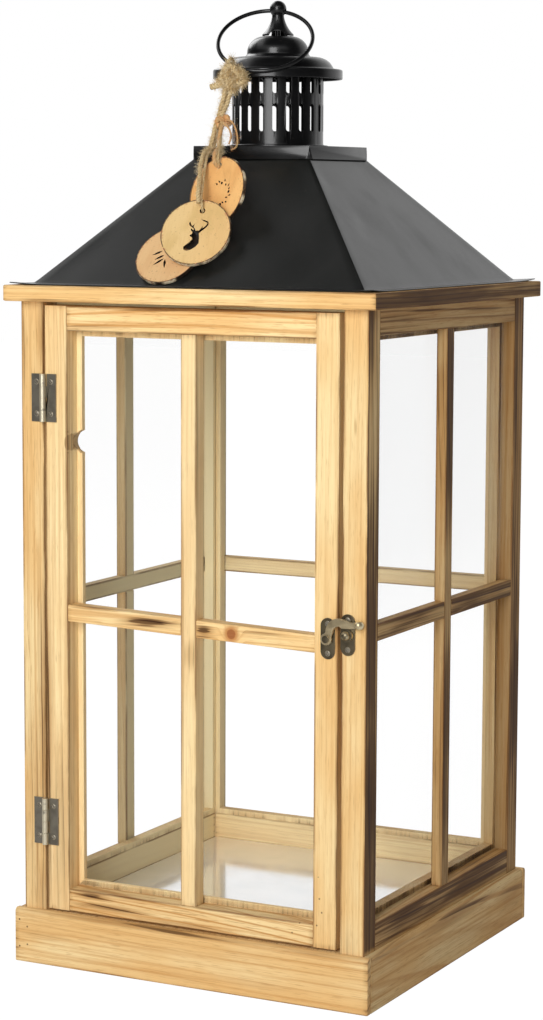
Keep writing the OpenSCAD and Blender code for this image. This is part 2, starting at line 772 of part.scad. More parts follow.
module vent_cap() color(black) {
    inner = cap_run(cap_t);
    translate([-vent_shift, 0, 0]) rotate_extrude()
        polygon(concat(cap_run(0), [for (i = [len(inner) - 1:-1:0]) inner[i]]));
}

// ---------- finial and ring ----------

// Bell-shaped foot with three arches, a neck and a drilled ball, with a stem through the crown
module finial() color(black) {
    foot_z = crown_z + soft_gap;
    skirt = arc(bell_x, foot_z + bell_z, bell_r, 227.5, 190.6, 6);
    translate([-vent_shift, 0, 0]) difference() {
        union() {
            rotate_extrude() polygon(concat(
                [[0, foot_z + foot_hollow], [foot_r - foot_hollow, foot_z + foot_hollow - cut],
                    [foot_r - foot_edge, foot_z], [foot_r, foot_z]],
                skirt, [[neck_r, foot_z + bell_z], [neck_r, ball_c], [0, ball_c]]));
            translate([0, 0, ball_c]) sphere(r = ball_r);
            translate([0, 0, crown_z - stem_len / 2]) cylinder(r = stem_r, h = stem_len);
        }
        for (a = [0:120:240])
            rotate([0, 0, arch_turn + a]) translate([0, -arch_r, foot_z - arch_drop]) rotate([90, 0, 0])
                cylinder(r = arch_r, h = foot_r);
        translate([0, 0, eye_z]) eye_axis() cylinder(r = eye_r, h = 4 * ball_r, center = true);
    }
}

module finial_nut() color(black)
    translate([-vent_shift, 0, crown_z - cap_t - nut_h]) difference() {
        cylinder(r = nut_r, h = nut_h, $fn = 6);
        translate([0, 0, -cut]) cylinder(r = stem_r + pin_clear, h = nut_h + 2 * cut);
    }

// Turns +Z onto the line of the ring's hole
module eye_axis() {
    rotate([0, 90 + eye_tilt, eye_turn]) children();
}

// The ring passes through the hole and leans forward until it rests on the cap's rim
module hanging_ring() color(black)
    translate([-vent_shift, 0, eye_z]) eye_axis() rotate([0, 0, -ring_lean])
        translate([ring_r, 0, 0]) rotate([90, 0, 0]) rotate_extrude($fn = 96)
            translate([ring_r, 0]) circle(r = wire_r, $fn = 32);

// ---------- tags and twine ----------

// Puts a disc's own plane, face along +Z, where its pose says
module at_pose(pose) {
    translate(pose[0]) rotate([90 - pose[2], 0, pose[1]]) children();
}

// A disc with its hanging hole, pierced by the outline given as a child
module tag(pose, r) color(pine)
    at_pose(pose) difference() {
        translate([0, 0, -tag_t / 2]) cylinder(r = r, h = tag_t);
        translate([pose[3][0], pose[3][1], -tag_t]) cylinder(r = tag_hole_r, h = 2 * tag_t);
        translate([0, 0, -tag_t]) linear_extrude(2 * tag_t) children();
    }

// A slender leaf from its foot to its tip
module leaf(foot, tip, w) {
    side = w / 2 * [foot[1] - tip[1], tip[0] - foot[0]] / norm(tip - foot);
    polygon([foot, foot + 0.35 * (tip - foot) + side, foot + 0.7 * (tip - foot) + 0.7 * side, tip,
        foot + 0.7 * (tip - foot) - 0.7 * side, foot + 0.35 * (tip - foot) - side]);
}

// Head and neck of a stag, with two forked antlers
module stag() {
    polygon([[-7.4, -12.4], [-6.8, -14.6], [-4.6, -15.6], [-1.6, -14.8], [2, -12.2], [3.9, -9.4],
        [3.6, -5], [2.7, -1.2], [4.2, 0.2], [2.2, 1], [-0.6, 0.9], [-1.7, 1.3], [-3.9, 3],
        [-3.7, 1.2], [-2.2, -0.2], [-2.5, -1.8], [-3.9, -2.4], [-3.8, -3.6], [-2, -4.4],
        [-1.6, -6], [-3.2, -8.4], [-5.6, -10.6]]);
    polygon([[-1, 0], [0.4, 0], [-0.9, 2.6], [-2.2, 4.2], [-1.6, 6.6], [-3, 4.9], [-4.3, 5.9],
        [-5.5, 8.6], [-6.2, 6.6], [-5, 4.9], [-3, 3.7], [-1.8, 2.4]]);
    polygon([[1.6, 0], [3.6, 0], [5.6, 1.6], [7.9, 4.1], [9.3, 6.6], [8.4, 8.6], [5.6, 9.6],
        [2.4, 10.6], [5.2, 8.8], [7.6, 7.7], [7.9, 6.4], [7, 4.9], [5, 3], [4.6, 4.8], [3.9, 2.9]]);
}

module tag_front() tag(front_pose, tag_front_r) stag();

// A wreath of small uneven leaves
module tag_back() tag(back_pose, tag_back_r)
    for (i = [0:12]) {
        reach = 8.8 + 1.2 * sin(150 * i);
        translate([4, -1]) rotate(128 - 17 * i)
            leaf([reach - 1, -0.6], [reach + 1.1, 0.7], i % 5 == 2 ? 2.2 : 1.3);
    }

// A sprig of five leaves
module tag_low() tag(low_pose, tag_low_r) {
    leaf([-5.4, 3.2], [-12.7, -0.8], 2);
    leaf([-2.6, -0.4], [-9.4, -5], 2);
    leaf([-1.8, -3.4], [-9, -10], 2);
    leaf([-0.8, -4.2], [1.3, -12.3], 2);
    leaf([-4.6, 5.5], [-6.6, 10.2], 1.6);
}

function unit(v) = v / norm(v);

// The point a part t of the way along stretch i of a smooth run through the route's points
function spline(p, i, t) =
    let (n = len(p) - 1, a = p[max(i - 1, 0)], b = p[i], c = p[min(i + 1, n)], d = p[min(i + 2, n)])
    0.5 * (2 * b + (c - a) * t + (2 * a - 5 * b + 4 * c - d) * t * t
        + (3 * b - a - 3 * c + d) * t * t * t);

function smooth(p, steps) =
    concat([for (i = [0:len(p) - 2], s = [0:steps - 1]) spline(p, i, s / steps)], [p[len(p) - 1]]);

// An eight-sided tube along a run of points
module cord(path) {
    sides = 8;
    last = len(path) - 1;
    rings = [for (i = [0:last]) let (
        along = unit(path[min(i + 1, last)] - path[max(i - 1, 0)]),
        across = unit(cross(along, [1, 0, 0])),
        over = cross(along, across))
        [for (k = [0:sides - 1]) path[i] + twine_r * (across * cos(k * 45) + over * sin(k * 45))]];
    polyhedron(points = [for (ring = rings) each ring], faces = concat(
        [[for (k = [0:sides - 1]) k]],
        [for (i = [0:last - 1], k = [0:sides - 1]) let (a = i * sides + k, b = i * sides + (k + 1) % sides)
            [a, a + sides, b + sides, b]],
        [[for (k = [sides - 1:-1:0]) last * sides + k]]));
}

module tag_twine() color(jute)
    cord(concat(loose_end, loop, smooth(front_route, 2)));

module back_tag_twine() color(jute)
    cord(smooth(back_route, 2));

plinth_front_back_boards();
plinth_side_boards();
base_battens();
floor_board();
floor_plate();
front_left_post();
front_right_post();
back_left_post();
back_right_post();
left_top_rail();
left_bottom_rail();
left_mullion();
left_crossbar();
left_glass();
left_beads();
right_top_rail();
right_bottom_rail();
right_mullion();
right_crossbar();
right_glass();
right_beads();
back_top_rail();
back_bottom_rail();
back_mullion();
back_crossbar();
back_glass();
back_beads();
top_board_front();
top_board_back();
top_board_left();
top_board_right();
roof_sheet();
roof_collar();
vent_tube();
vent_cap();
finial();
finial_nut();
hanging_ring();
door_hinge_stile();
door_latch_stile();
door_top_rail();
door_bottom_rail();
door_mullion();
door_crossbar();
door_glass();
door_beads();
hinge_post_leaves();
hinge_door_leaves();
hinge_pins();
post_screws();
door_screws();
latch_plate();
latch_hook();
catch_plate();
tag_twine();
back_tag_twine();
tag_front();
tag_back();
tag_low();
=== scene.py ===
"""A square hanging lantern in flamed pine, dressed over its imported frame."""

import json
import math
import random

import bpy
from mathutils import Matrix, Vector, noise
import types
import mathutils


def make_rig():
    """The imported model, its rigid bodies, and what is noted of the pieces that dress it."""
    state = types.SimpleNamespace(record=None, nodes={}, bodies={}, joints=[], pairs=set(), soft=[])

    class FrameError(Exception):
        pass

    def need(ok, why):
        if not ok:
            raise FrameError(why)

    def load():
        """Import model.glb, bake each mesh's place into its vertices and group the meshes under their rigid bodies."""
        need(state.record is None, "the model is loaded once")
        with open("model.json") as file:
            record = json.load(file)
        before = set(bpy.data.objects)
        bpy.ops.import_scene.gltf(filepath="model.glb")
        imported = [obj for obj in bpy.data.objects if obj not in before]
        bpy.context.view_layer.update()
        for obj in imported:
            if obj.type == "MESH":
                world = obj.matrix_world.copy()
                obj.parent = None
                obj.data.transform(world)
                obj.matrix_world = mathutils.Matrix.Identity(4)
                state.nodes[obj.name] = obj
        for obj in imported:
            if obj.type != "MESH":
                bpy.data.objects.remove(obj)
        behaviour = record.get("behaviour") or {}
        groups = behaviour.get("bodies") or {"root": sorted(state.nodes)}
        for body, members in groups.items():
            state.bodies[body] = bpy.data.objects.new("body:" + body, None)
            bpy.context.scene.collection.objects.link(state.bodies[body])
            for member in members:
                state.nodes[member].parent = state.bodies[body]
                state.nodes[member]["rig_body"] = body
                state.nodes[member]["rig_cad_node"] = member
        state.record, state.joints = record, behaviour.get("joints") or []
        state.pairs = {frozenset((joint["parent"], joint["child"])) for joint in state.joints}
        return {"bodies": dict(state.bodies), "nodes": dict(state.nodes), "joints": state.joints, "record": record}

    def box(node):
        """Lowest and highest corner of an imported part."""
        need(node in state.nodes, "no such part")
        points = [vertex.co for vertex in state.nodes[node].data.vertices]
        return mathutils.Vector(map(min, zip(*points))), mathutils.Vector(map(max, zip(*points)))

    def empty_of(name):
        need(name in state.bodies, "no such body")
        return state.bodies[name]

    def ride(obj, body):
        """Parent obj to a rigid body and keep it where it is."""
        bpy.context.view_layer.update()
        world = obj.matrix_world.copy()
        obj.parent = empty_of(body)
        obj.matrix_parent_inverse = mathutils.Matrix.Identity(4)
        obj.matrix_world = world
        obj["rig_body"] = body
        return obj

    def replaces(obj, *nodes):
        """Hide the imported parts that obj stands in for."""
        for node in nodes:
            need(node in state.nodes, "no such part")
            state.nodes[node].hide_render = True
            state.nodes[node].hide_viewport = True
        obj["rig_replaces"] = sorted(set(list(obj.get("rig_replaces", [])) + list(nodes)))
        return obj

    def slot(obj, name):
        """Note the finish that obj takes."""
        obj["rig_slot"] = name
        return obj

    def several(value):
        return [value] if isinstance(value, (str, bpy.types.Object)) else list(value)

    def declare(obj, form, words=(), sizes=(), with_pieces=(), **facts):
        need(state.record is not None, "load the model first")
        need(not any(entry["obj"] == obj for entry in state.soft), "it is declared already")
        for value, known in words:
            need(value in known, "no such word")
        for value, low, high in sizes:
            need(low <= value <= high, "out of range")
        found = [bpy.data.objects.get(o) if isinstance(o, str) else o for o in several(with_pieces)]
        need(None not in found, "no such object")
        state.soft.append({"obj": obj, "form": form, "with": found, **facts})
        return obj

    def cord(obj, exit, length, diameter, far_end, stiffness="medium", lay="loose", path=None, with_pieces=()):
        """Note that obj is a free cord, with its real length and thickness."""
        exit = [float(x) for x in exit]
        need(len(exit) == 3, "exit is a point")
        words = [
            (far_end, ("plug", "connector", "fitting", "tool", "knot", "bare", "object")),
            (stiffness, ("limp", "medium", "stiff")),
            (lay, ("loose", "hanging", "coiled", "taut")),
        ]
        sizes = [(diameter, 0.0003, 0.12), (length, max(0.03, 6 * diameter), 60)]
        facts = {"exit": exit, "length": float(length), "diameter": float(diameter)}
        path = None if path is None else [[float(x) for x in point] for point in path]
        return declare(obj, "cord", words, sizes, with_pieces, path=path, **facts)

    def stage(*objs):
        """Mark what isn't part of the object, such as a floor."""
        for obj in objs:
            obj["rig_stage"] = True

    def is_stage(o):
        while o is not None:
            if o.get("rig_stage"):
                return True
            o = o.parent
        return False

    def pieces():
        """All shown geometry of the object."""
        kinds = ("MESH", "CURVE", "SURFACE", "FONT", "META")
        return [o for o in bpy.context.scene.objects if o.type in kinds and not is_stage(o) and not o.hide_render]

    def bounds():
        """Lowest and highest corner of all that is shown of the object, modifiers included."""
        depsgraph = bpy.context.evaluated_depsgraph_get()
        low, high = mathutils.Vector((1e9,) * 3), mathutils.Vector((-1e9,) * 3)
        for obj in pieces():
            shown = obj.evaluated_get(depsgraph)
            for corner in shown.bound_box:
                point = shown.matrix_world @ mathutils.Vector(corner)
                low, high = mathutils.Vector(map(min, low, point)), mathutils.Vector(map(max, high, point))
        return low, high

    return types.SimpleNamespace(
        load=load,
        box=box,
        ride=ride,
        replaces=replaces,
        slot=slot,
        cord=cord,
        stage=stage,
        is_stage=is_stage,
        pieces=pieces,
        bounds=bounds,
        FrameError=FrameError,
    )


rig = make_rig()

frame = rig.load()

bl_info = {
    "name": "Hanging Lantern",
    "version": (1, 0, 0),
    "blender": (4, 5, 0),
    "location": "View3D > Sidebar > Lantern",
    "description": "Dresses a square lantern: pine, sheet metal, panes, fittings and tags on twine",
    "category": "Object",
}

NODES = frame["nodes"]
CAD_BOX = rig.bounds()
MM = 0.001


def tone(red, green, blue):
    """A colour as it is seen, 0 to 255, as the linear value that materials use."""
    parts = [v / 255 for v in (red, green, blue)]
    return tuple(v / 12.92 if v <= 0.04045 else ((v + 0.055) / 1.055) ** 2.4 for v in parts)


def mm(*values):
    """A point or length in metres, from millimetres."""
    return Vector(values) * MM


# ---------- settings ----------


def paint(name, text, value):
    return bpy.props.FloatVectorProperty(
        name=name, description=text, subtype="COLOR", size=3, min=0, max=1, default=value)


def amount(name, text, value, low, high, **more):
    return bpy.props.FloatProperty(name=name, description=text, default=value, min=low, max=high, **more)


def span(name, text, value, low, high):
    return amount(name, text, value, low, high, unit="LENGTH", precision=5)


def count(name, text, value, high):
    return bpy.props.IntProperty(name=name, description=text, default=value, min=0, max=high)


class LanternPine(bpy.types.PropertyGroup):
    pale: paint("Pale wood", "Early wood between the rings", tone(252, 226, 170))
    warm: paint("Warm wood", "Broad warmer patches", tone(240, 198, 134))
    late: paint("Late wood", "Dark half of each ring", tone(206, 150, 84))
    flamed: paint("Flamed wood", "Where the flame passed", tone(170, 122, 68))
    grey: paint("Greyed wood", "Sides that the flame left alone", tone(250, 234, 188))
    burnt: paint("Burnt wood", "Where the flame stayed longest", tone(62, 36, 18))
    ring: span("Ring spacing", "Distance between two rings", 0.0036, 0.001, 0.01)
    eased: span("Eased edge", "Radius rubbed onto the boards' edges", 0.0008, 0.0001, 0.002)


class LanternMetal(bpy.types.PropertyGroup):
    roof: paint("Roof paint", "Matt paint of the roof sheet", tone(15, 16, 14))
    vent: paint("Vent paint", "Gloss paint of the collar, vent, cap and ring", tone(10, 10, 11))
    bronze: paint("Bronze", "Plated steel of the hinges", tone(122, 116, 104))
    brass: paint("Brass", "Aged brass of the latch", tone(150, 136, 108))
    hip: span("Hip radius", "Rounding of the roof's hips", 0.0016, 0.0005, 0.004)
    dent: span("Dent depth", "Depth of the deepest dent in the roof", 0.0009, 0, 0.002)


class LanternTags(bpy.types.PropertyGroup):
    front: paint("Front disc", "Face of the front disc", tone(226, 194, 136))
    back: paint("Back disc", "Face of the back disc", tone(236, 178, 108))
    low: paint("Low disc", "Face of the low disc", tone(226, 186, 134))
    jute: paint("Jute", "The twine", tone(204, 176, 126))
    twine: span("Twine", "Diameter of the twine", 0.0022, 0.001, 0.0024)
    lay: span("Lay", "Length in which the plies turn once", 0.0075, 0.003, 0.02)
    fibre: span("Fibre", "Length of a loose fibre", 0.008, 0.002, 0.02)
    fibres: count("Fibres", "Loose fibres standing off the twine", 260, 1200)
    nap: count("Nap", "Short fibres lying over the twine", 1900, 4000)


class LanternStudio(bpy.types.PropertyGroup):
    key: amount("Key lamp", "Tall soft lamp in front", 66, 0, 400, unit="POWER")
    side: amount("Side lamp", "Large dim lamp, high on the left", 26, 0, 400, unit="POWER")
    room: amount("Room light", "Even light from all round", 0.24, 0, 2)
    lens: amount("Lens", "Focal length of the camera, in millimetres", 93.635, 20, 300)


GROUPS = {"lantern_pine": LanternPine, "lantern_metal": LanternMetal,
          "lantern_tags": LanternTags, "lantern_studio": LanternStudio}


# ---------- shader maths ----------


class Value:
    """One output of a shader node. Sums on it add Math nodes."""

    def __init__(self, finish, socket):
        self.finish, self.socket = finish, socket

    def math(self, operation, *values):
        return self.finish.node("Math", {"operation": operation}, values)

    def outlet(self, key):
        return Value(self.finish, self.socket.node.outputs[key])

    def __add__(self, other):
        return self.math("ADD", self, other)

    def __radd__(self, other):
        return self.math("ADD", other, self)

    def __sub__(self, other):
        return self.math("SUBTRACT", self, other)

    def __rsub__(self, other):
        return self.math("SUBTRACT", other, self)

    def __mul__(self, other):
        return self.math("MULTIPLY", self, other)

    def __truediv__(self, other):
        return self.math("DIVIDE", self, other)

    def __abs__(self):
        return self.math("ABSOLUTE", self)

    def most(self, other):
        """The larger of the two."""
        return self.math("MAXIMUM", self, other)

    def rise(self, low, high, top=1.0):
        """0 below low, top above high, smooth between."""
        return self.finish.node("MapRange", {"interpolation_type": "SMOOTHSTEP"}, {
            "Value": self, "From Min": low, "From Max": high, "To Min": 0.0, "To Max": top})

    def fall(self, low, high):
        """1 below low, 0 above high, smooth between."""
        return 1 - self.rise(low, high)


class Finish:
    """A material being made: its node tree, and the shader that it ends in."""

    def __init__(self, name, tree=None):
        if tree is None:
            self.material = bpy.data.materials.new(name)
            self.material.use_nodes = True
            tree = self.material.node_tree
        self.tree = tree
        self.tree.nodes.clear()
        self.point = self.node("TexCoord", out="Object")

    def node(self, kind, settings=None, inputs=(), out=0):
        """Adds a node: first its settings, then the values or links of its sockets."""
        made = self.tree.nodes.new("ShaderNode" + kind)
        for key, value in (settings or {}).items():
            setattr(made, key, value)
        pairs = inputs.items() if isinstance(inputs, dict) else enumerate(inputs)
        for key, value in pairs:
            if isinstance(value, Value):
                self.tree.links.new(value.socket, made.inputs[key])
            else:
                made.inputs[key].default_value = value
        return Value(self, made.outputs[out]) if made.outputs else None

    def vector(self, operation, *values, out=0):
        return self.node("VectorMath", {"operation": operation}, values, out)

    def length(self, vector):
        return self.vector("LENGTH", vector, out="Value")

    def dot(self, first, second):
        return self.vector("DOT_PRODUCT", first, second, out="Value")

    def off(self, place):
        """The way from a place to the point."""
        return self.vector("SUBTRACT", self.point, tuple(place))

    def facing(self):
        """The way that the surface looks."""
        return self.node("TexCoord", out="Normal")

    def parts(self, vector):
        first = self.node("SeparateXYZ", None, [vector])
        return first, first.outlet(1), first.outlet(2)

    def join(self, *values):
        return self.node("CombineXYZ", None, values)

    def grain(self, vector, factors, detail=2.0, shift=(0, 0, 0), out="Fac"):
        """Noise on a vector stretched by the factors."""
        spread = self.vector("MULTIPLY_ADD", vector, factors, shift)
        return self.node("TexNoise", None, {"Vector": spread, "Scale": 1.0, "Detail": detail}, out)

    def mix(self, factor, first, second):
        pair = [(*v, 1) if isinstance(v, tuple) or hasattr(v, "r") else v for v in (first, second)]
        return self.node("Mix", {"data_type": "RGBA", "clamp_factor": True},
                         {0: factor, 6: pair[0], 7: pair[1]}, 2)

    def layers(self, colour, *coats):
        """Coats over a colour. Each has its value, where that starts and is full, its strength and colour."""
        for value, low, high, top, coat in coats:
            colour = self.mix(value.rise(low, high, top), colour, coat)
        return colour

    def bump(self, height, depth, strength):
        return self.node("Bump", None, {"Height": height, "Distance": depth, "Strength": strength})

    def coat(self, **sockets):
        """The Principled shader, with its sockets by name, linked to the output."""
        named = {key.replace("_", " "): value for key, value in sockets.items()}
        shader = self.node("BsdfPrincipled", None, named)
        self.node("OutputMaterial", None, {"Surface": shader})
        return self.material


AXES = "xyz"
WANDER = 0.009
GREY_INSIDE = -0.4


def pine(name, along, low, high, heart, taper, figure, scorch, shade, pitch, marks, seed, arris):
    """Flamed pine between two corners, its grain along one axis. The heart is the pith's distance
    from the board's middle. Shade darkens, partly as painted shade, or pales when it is negative."""
    opt = bpy.context.scene.lantern_pine
    finish = Finish(name)
    half = (high - low) / 2
    sides = finish.parts(finish.off((low + high) / 2))
    run = AXES.index(along)
    order = [i for i in range(3) if i != run]
    length = sides[run]
    board = finish.join(sides[order[0]], sides[order[1]], length)
    shift = (seed * 3.7, seed * 5.3, seed * 1.9)

    def grain(factors, detail=3.0, out="Fac"):
        return finish.grain(board, factors, detail, shift, out)

    # rings about the pith, which wanders and climbs along the board
    pith = (heart[0] * MM - WANDER / 2, heart[1] * MM - WANDER / 2, 0)
    way = finish.vector("MULTIPLY_ADD", grain((7, 7, 3.4), 1.0, "Color"), (WANDER, WANDER, 0), pith)
    way = finish.vector("MULTIPLY_ADD", grain((70, 70, 9), 2.0, "Color"), (0.0014, 0.0014, 0), way)
    across = finish.vector("MULTIPLY", finish.vector("ADD", board, way), (1, 1, 0))
    radius = finish.length(across) + length * taper
    near = []
    for kind, rows in marks.items():
        for *spot, wide, deep, tall, strength in rows:
            reach = tuple(mm(wide, deep, tall))
            away = finish.length(finish.vector("DIVIDE", finish.off(mm(*spot)), reach))
            near.append((kind, strength, away))
            if kind == "knot":
                radius = radius + away.fall(0.0, 3.2) * (1.6 * opt.ring)
    turn = radius / (opt.ring * pitch)
    phase = turn.math("FRACT", turn)
    each = finish.node("TexNoise", {"noise_dimensions": "1D"},
                       {"W": turn * 0.83 + seed, "Detail": 1.0})
    ring = phase.rise(0.42, 0.86) * phase.fall(0.87, 1.0) * each.rise(0.3, 0.62)
    thread, streak, patch = grain((1000, 1000, 16)), grain((380, 380, 5)), grain((30, 30, 7))
    colour = finish.layers(opt.pale, (patch, 0.34, 0.66, 1.0, opt.warm),
                           (streak, 0.46, 0.7, 0.2 + 0.7 * figure, opt.late))
    colour = finish.mix(ring * figure, colour, opt.late)
    colour = finish.layers(colour, (thread, 0.5, 0.76, 0.2 + 0.4 * figure, opt.late),
                           (grain((1500, 1500, 70), 2.0), 0.56, 0.7, 0.22 + 0.4 * figure, tone(178, 124, 66)))
    # a positive shade is painted shade, mixed with some of the wood's own darker tone: a brown darkening, strongest on
    # the right-hand boards and the far right post, which stood in shade
    if shade > 0:
        colour = finish.mix(shade, colour, tone(120, 80, 38))
    elif shade < 0:
        # paler, and palest on the faces that look into the case
        outward = finish.dot(finish.vector("MULTIPLY", finish.point, (1, 1, 0)), finish.facing())
        inner = outward.fall(-0.05, 0.02)
        pale = (inner * 0.75 + 0.25) * -shade if shade < GREY_INSIDE else -shade
        colour = finish.mix(pale, colour, opt.grey)
    # the flame: golden where it passed, dark lines along the grain and char where it stayed
    cloud = grain((30, 30, 6))
    flame = cloud.rise(0.74 - scorch, 0.98 - scorch)
    edges = [abs(sides[i]).rise(half[i] - 0.0018, half[i]) for i in order]
    worn = grain((60, 60, 16)).rise(0.32, 0.6)
    rub = edges[0] * edges[1] * worn * arris
    ends = abs(length).rise(half[run] - 0.005, half[run])
    for kind, strength, away in near:
        rough = away + (streak - 0.5) * (1.6 if kind == "burn" else 0.25)
        if kind == "burn":
            flame = flame.most(rough.fall(0.2, 1.05) * strength)
        elif kind == "rim":
            flame = flame.most(rough.fall(1.0, 1.1) * strength)
        elif kind == "knot":
            colour = finish.mix(rough.fall(0.9, 1.9) * strength, colour, tone(196, 138, 82))
            core = rough.fall(0.72, 0.95) * (0.7 + thread * 0.5)
            colour = finish.mix(core * strength, colour, tone(160, 98, 56))
        else:
            colour = finish.mix(away.fall(0.6, 1.0) * strength, colour, tone(84, 54, 30))
    # the right-hand faces of the right side: scorched and charred by the flame, and darkened further as painted shade,
    # as that side stood in shade
    x, _, z = finish.parts(finish.point)
    right = finish.parts(finish.facing())[0].rise(0.6, 0.9) * x.rise(0.125, 0.135) * z.rise(0.041, 0.046)
    flame = flame.most(right * (cloud * 1.5 - 0.1)).most(rub).most(ends * worn * 0.5)
    colour = finish.mix(flame * 0.75, colour, opt.flamed)
    lines = (ring * 0.55 + streak * 0.75 + flame * 0.3).rise(0.62, 0.95)
    colour = finish.mix(flame * lines * 0.9, colour, opt.burnt)
    char = (cloud * 0.7 + streak * 0.5 + patch * 0.3).rise(0.64, 0.84)
    # char on the right-hand faces: partly the flame's, partly painted shade
    colour = finish.mix(right * char * 0.8, colour, opt.burnt)
    colour = finish.mix(rub, colour, tone(118, 76, 40))
    colour = finish.layers(colour, (flame + thread * 0.2, 0.95, 1.15, 0.7, opt.burnt))
    height = ring * 0.5 + thread * 0.5 - flame * 0.2
    return finish.coat(Base_Color=colour, Roughness=0.5 + thread * 0.18 - ring * 0.06,
                       Normal=finish.bump(height, 0.00022, 0.6), Specular_IOR_Level=0.14)


# ---------- bench tools ----------


def choose(*objects):
    """Leaves only these objects selected, the first one active."""
    bpy.ops.object.select_all(action="DESELECT")
    for o in objects:
        o.select_set(True)
    bpy.context.view_layer.objects.active = objects[0]


def place(name, data):
    """A new object in the scene."""
    made = bpy.data.objects.new(name, data)
    bpy.context.scene.collection.objects.link(made)
    return made


def edit(piece, *steps):
    """Runs mesh operators, each with its settings, on the whole of a piece."""
    choose(piece)
    bpy.ops.object.mode_set(mode="EDIT")
    for name, settings in steps:
        bpy.ops.mesh.select_all(action="SELECT")
        getattr(bpy.ops.mesh, name)(**settings)
    bpy.ops.object.mode_set(mode="OBJECT")
    return piece


def settle(piece, name, material, node, slot, stands_for=()):
    """Names a finished piece, puts its place in its mesh and lets it ride with a node's body."""
    choose(piece)
    bpy.ops.object.transform_apply(location=True, rotation=True, scale=True)
    piece.name = piece.data.name = name
    piece.data.materials.clear()
    piece.data.materials.append(material)
    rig.ride(piece, NODES[node]["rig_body"] if node in NODES else node)
    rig.slot(piece, slot)
    if stands_for:
        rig.replaces(piece, *stands_for)
    return piece


def copy_of(node):
    """A copy of a node's mesh with its loose triangles merged into whole faces."""
    return edit(place(node + "_copy", NODES[node].data.copy()), ("remove_doubles", {"threshold": 2e-6}),
                ("dissolve_limited", {"angle_limit": math.radians(0.5)}))


def modify(piece, kind, **settings):
    """Adds a modifier with its settings and applies it."""
    choose(piece)
    bpy.ops.object.modifier_add(type=kind)
    added = piece.modifiers[-1]
    for key, value in settings.items():
        setattr(added, key, value)
    bpy.ops.object.modifier_apply(modifier=added.name)


def ease(piece, width, steps=2, angle=35):
    """Rubs the sharp edges round."""
    modify(piece, "BEVEL", width=width, segments=steps, limit_method="ANGLE",
           angle_limit=math.radians(angle), use_clamp_overlap=True, harden_normals=False)


def smooth(piece, angle):
    choose(piece)
    bpy.ops.object.shade_smooth_by_angle(angle=math.radians(angle))


def dress(node, kind, material, slot, rubbed=None, soft=None):
    """A copy of a node, rubbed and smoothed as asked, in the node's place."""
    piece = copy_of(node)
    if rubbed:
        ease(piece, *rubbed)
    if soft:
        smooth(piece, soft)
    settle(piece, node + kind, material, node, slot, [node])


def mesh_piece(name, points, faces, edges=()):
    data = bpy.data.meshes.new(name)
    data.from_pydata([tuple(p) for p in points], edges, faces)
    data.update()
    return place(name, data)


def lathe(profile, axis):
    """A closed section, radius and height in millimetres, spun about an upright axis."""
    points = [mm(axis[0] + r, axis[1], z) for r, z in profile]
    piece = mesh_piece("lathe", points, [], [(i, (i + 1) % len(points)) for i in range(len(points))])
    spin = {"steps": 96, "angle": 2 * math.pi, "center": tuple(mm(*axis, 0)), "axis": (0, 0, 1)}
    return edit(piece, ("spin", spin), ("remove_doubles", {"threshold": 1e-6}),
                ("normals_make_consistent", {"inside": False}))


def arc(cx, cz, r, start, end, steps):
    turns = [math.radians(start + (end - start) * i / steps) for i in range(steps + 1)]
    return [(cx + r * math.cos(a), cz + r * math.sin(a)) for a in turns]


# ---------- twine ----------


def spline(points, steps):
    """A smooth run through the points."""
    ends = [points[0], *points, points[-1]]
    run = []
    for i in range(1, len(ends) - 2):
        a, b, c, d = ends[i - 1:i + 3]
        for s in range(steps):
            t = s / steps
            run.append(0.5 * (2 * b + (c - a) * t + (2 * a - 5 * b + 4 * c - d) * t * t
                              + (3 * b - a - 3 * c + d) * t ** 3))
    return run + [points[-1]]


def lengths(run):
    """How far along the run each of its points is."""
    gone = [0.0]
    for a, b in zip(run, run[1:]):
        gone.append(gone[-1] + (b - a).length)
    return gone


def even(points, step):
    """The same run with its points an even step apart."""
    whole = sum((b - a).length for a, b in zip(points, points[1:]))
    parts = max(2, round(whole / step))
    gap, run, carried = whole / parts, [points[0].copy()], 0.0
    for a, b in zip(points, points[1:]):
        piece = (b - a).length
        while carried + piece >= gap * len(run) - 1e-12 and len(run) < parts:
            run.append(a.lerp(b, (gap * len(run) - carried) / piece))
        carried += piece
    return run + [points[-1].copy()]


def frames(run):
    """Tangent, side and up along a run, turned as little as possible."""
    made, side = [], None
    for i, here in enumerate(run):
        ahead = (run[min(i + 1, len(run) - 1)] - run[max(i - 1, 0)]).normalized()
        if side is None:
            side = ahead.orthogonal().normalized()
        side = (side - ahead * side.dot(ahead)).normalized()
        made.append((here, ahead, side, ahead.cross(side)))
    return made


def tube_faces(base, rings, sides):
    """The faces of a closed tube: its walls ring by ring, then its two ends."""
    walls = [[base + i * sides + k, base + i * sides + (k + 1) % sides,
              base + (i + 1) * sides + (k + 1) % sides, base + (i + 1) * sides + k]
             for i in range(rings - 1) for k in range(sides)]
    last = base + (rings - 1) * sides
    return walls + [[base + k for k in reversed(range(sides))], [last + k for k in range(sides)]]


PLIES = 3


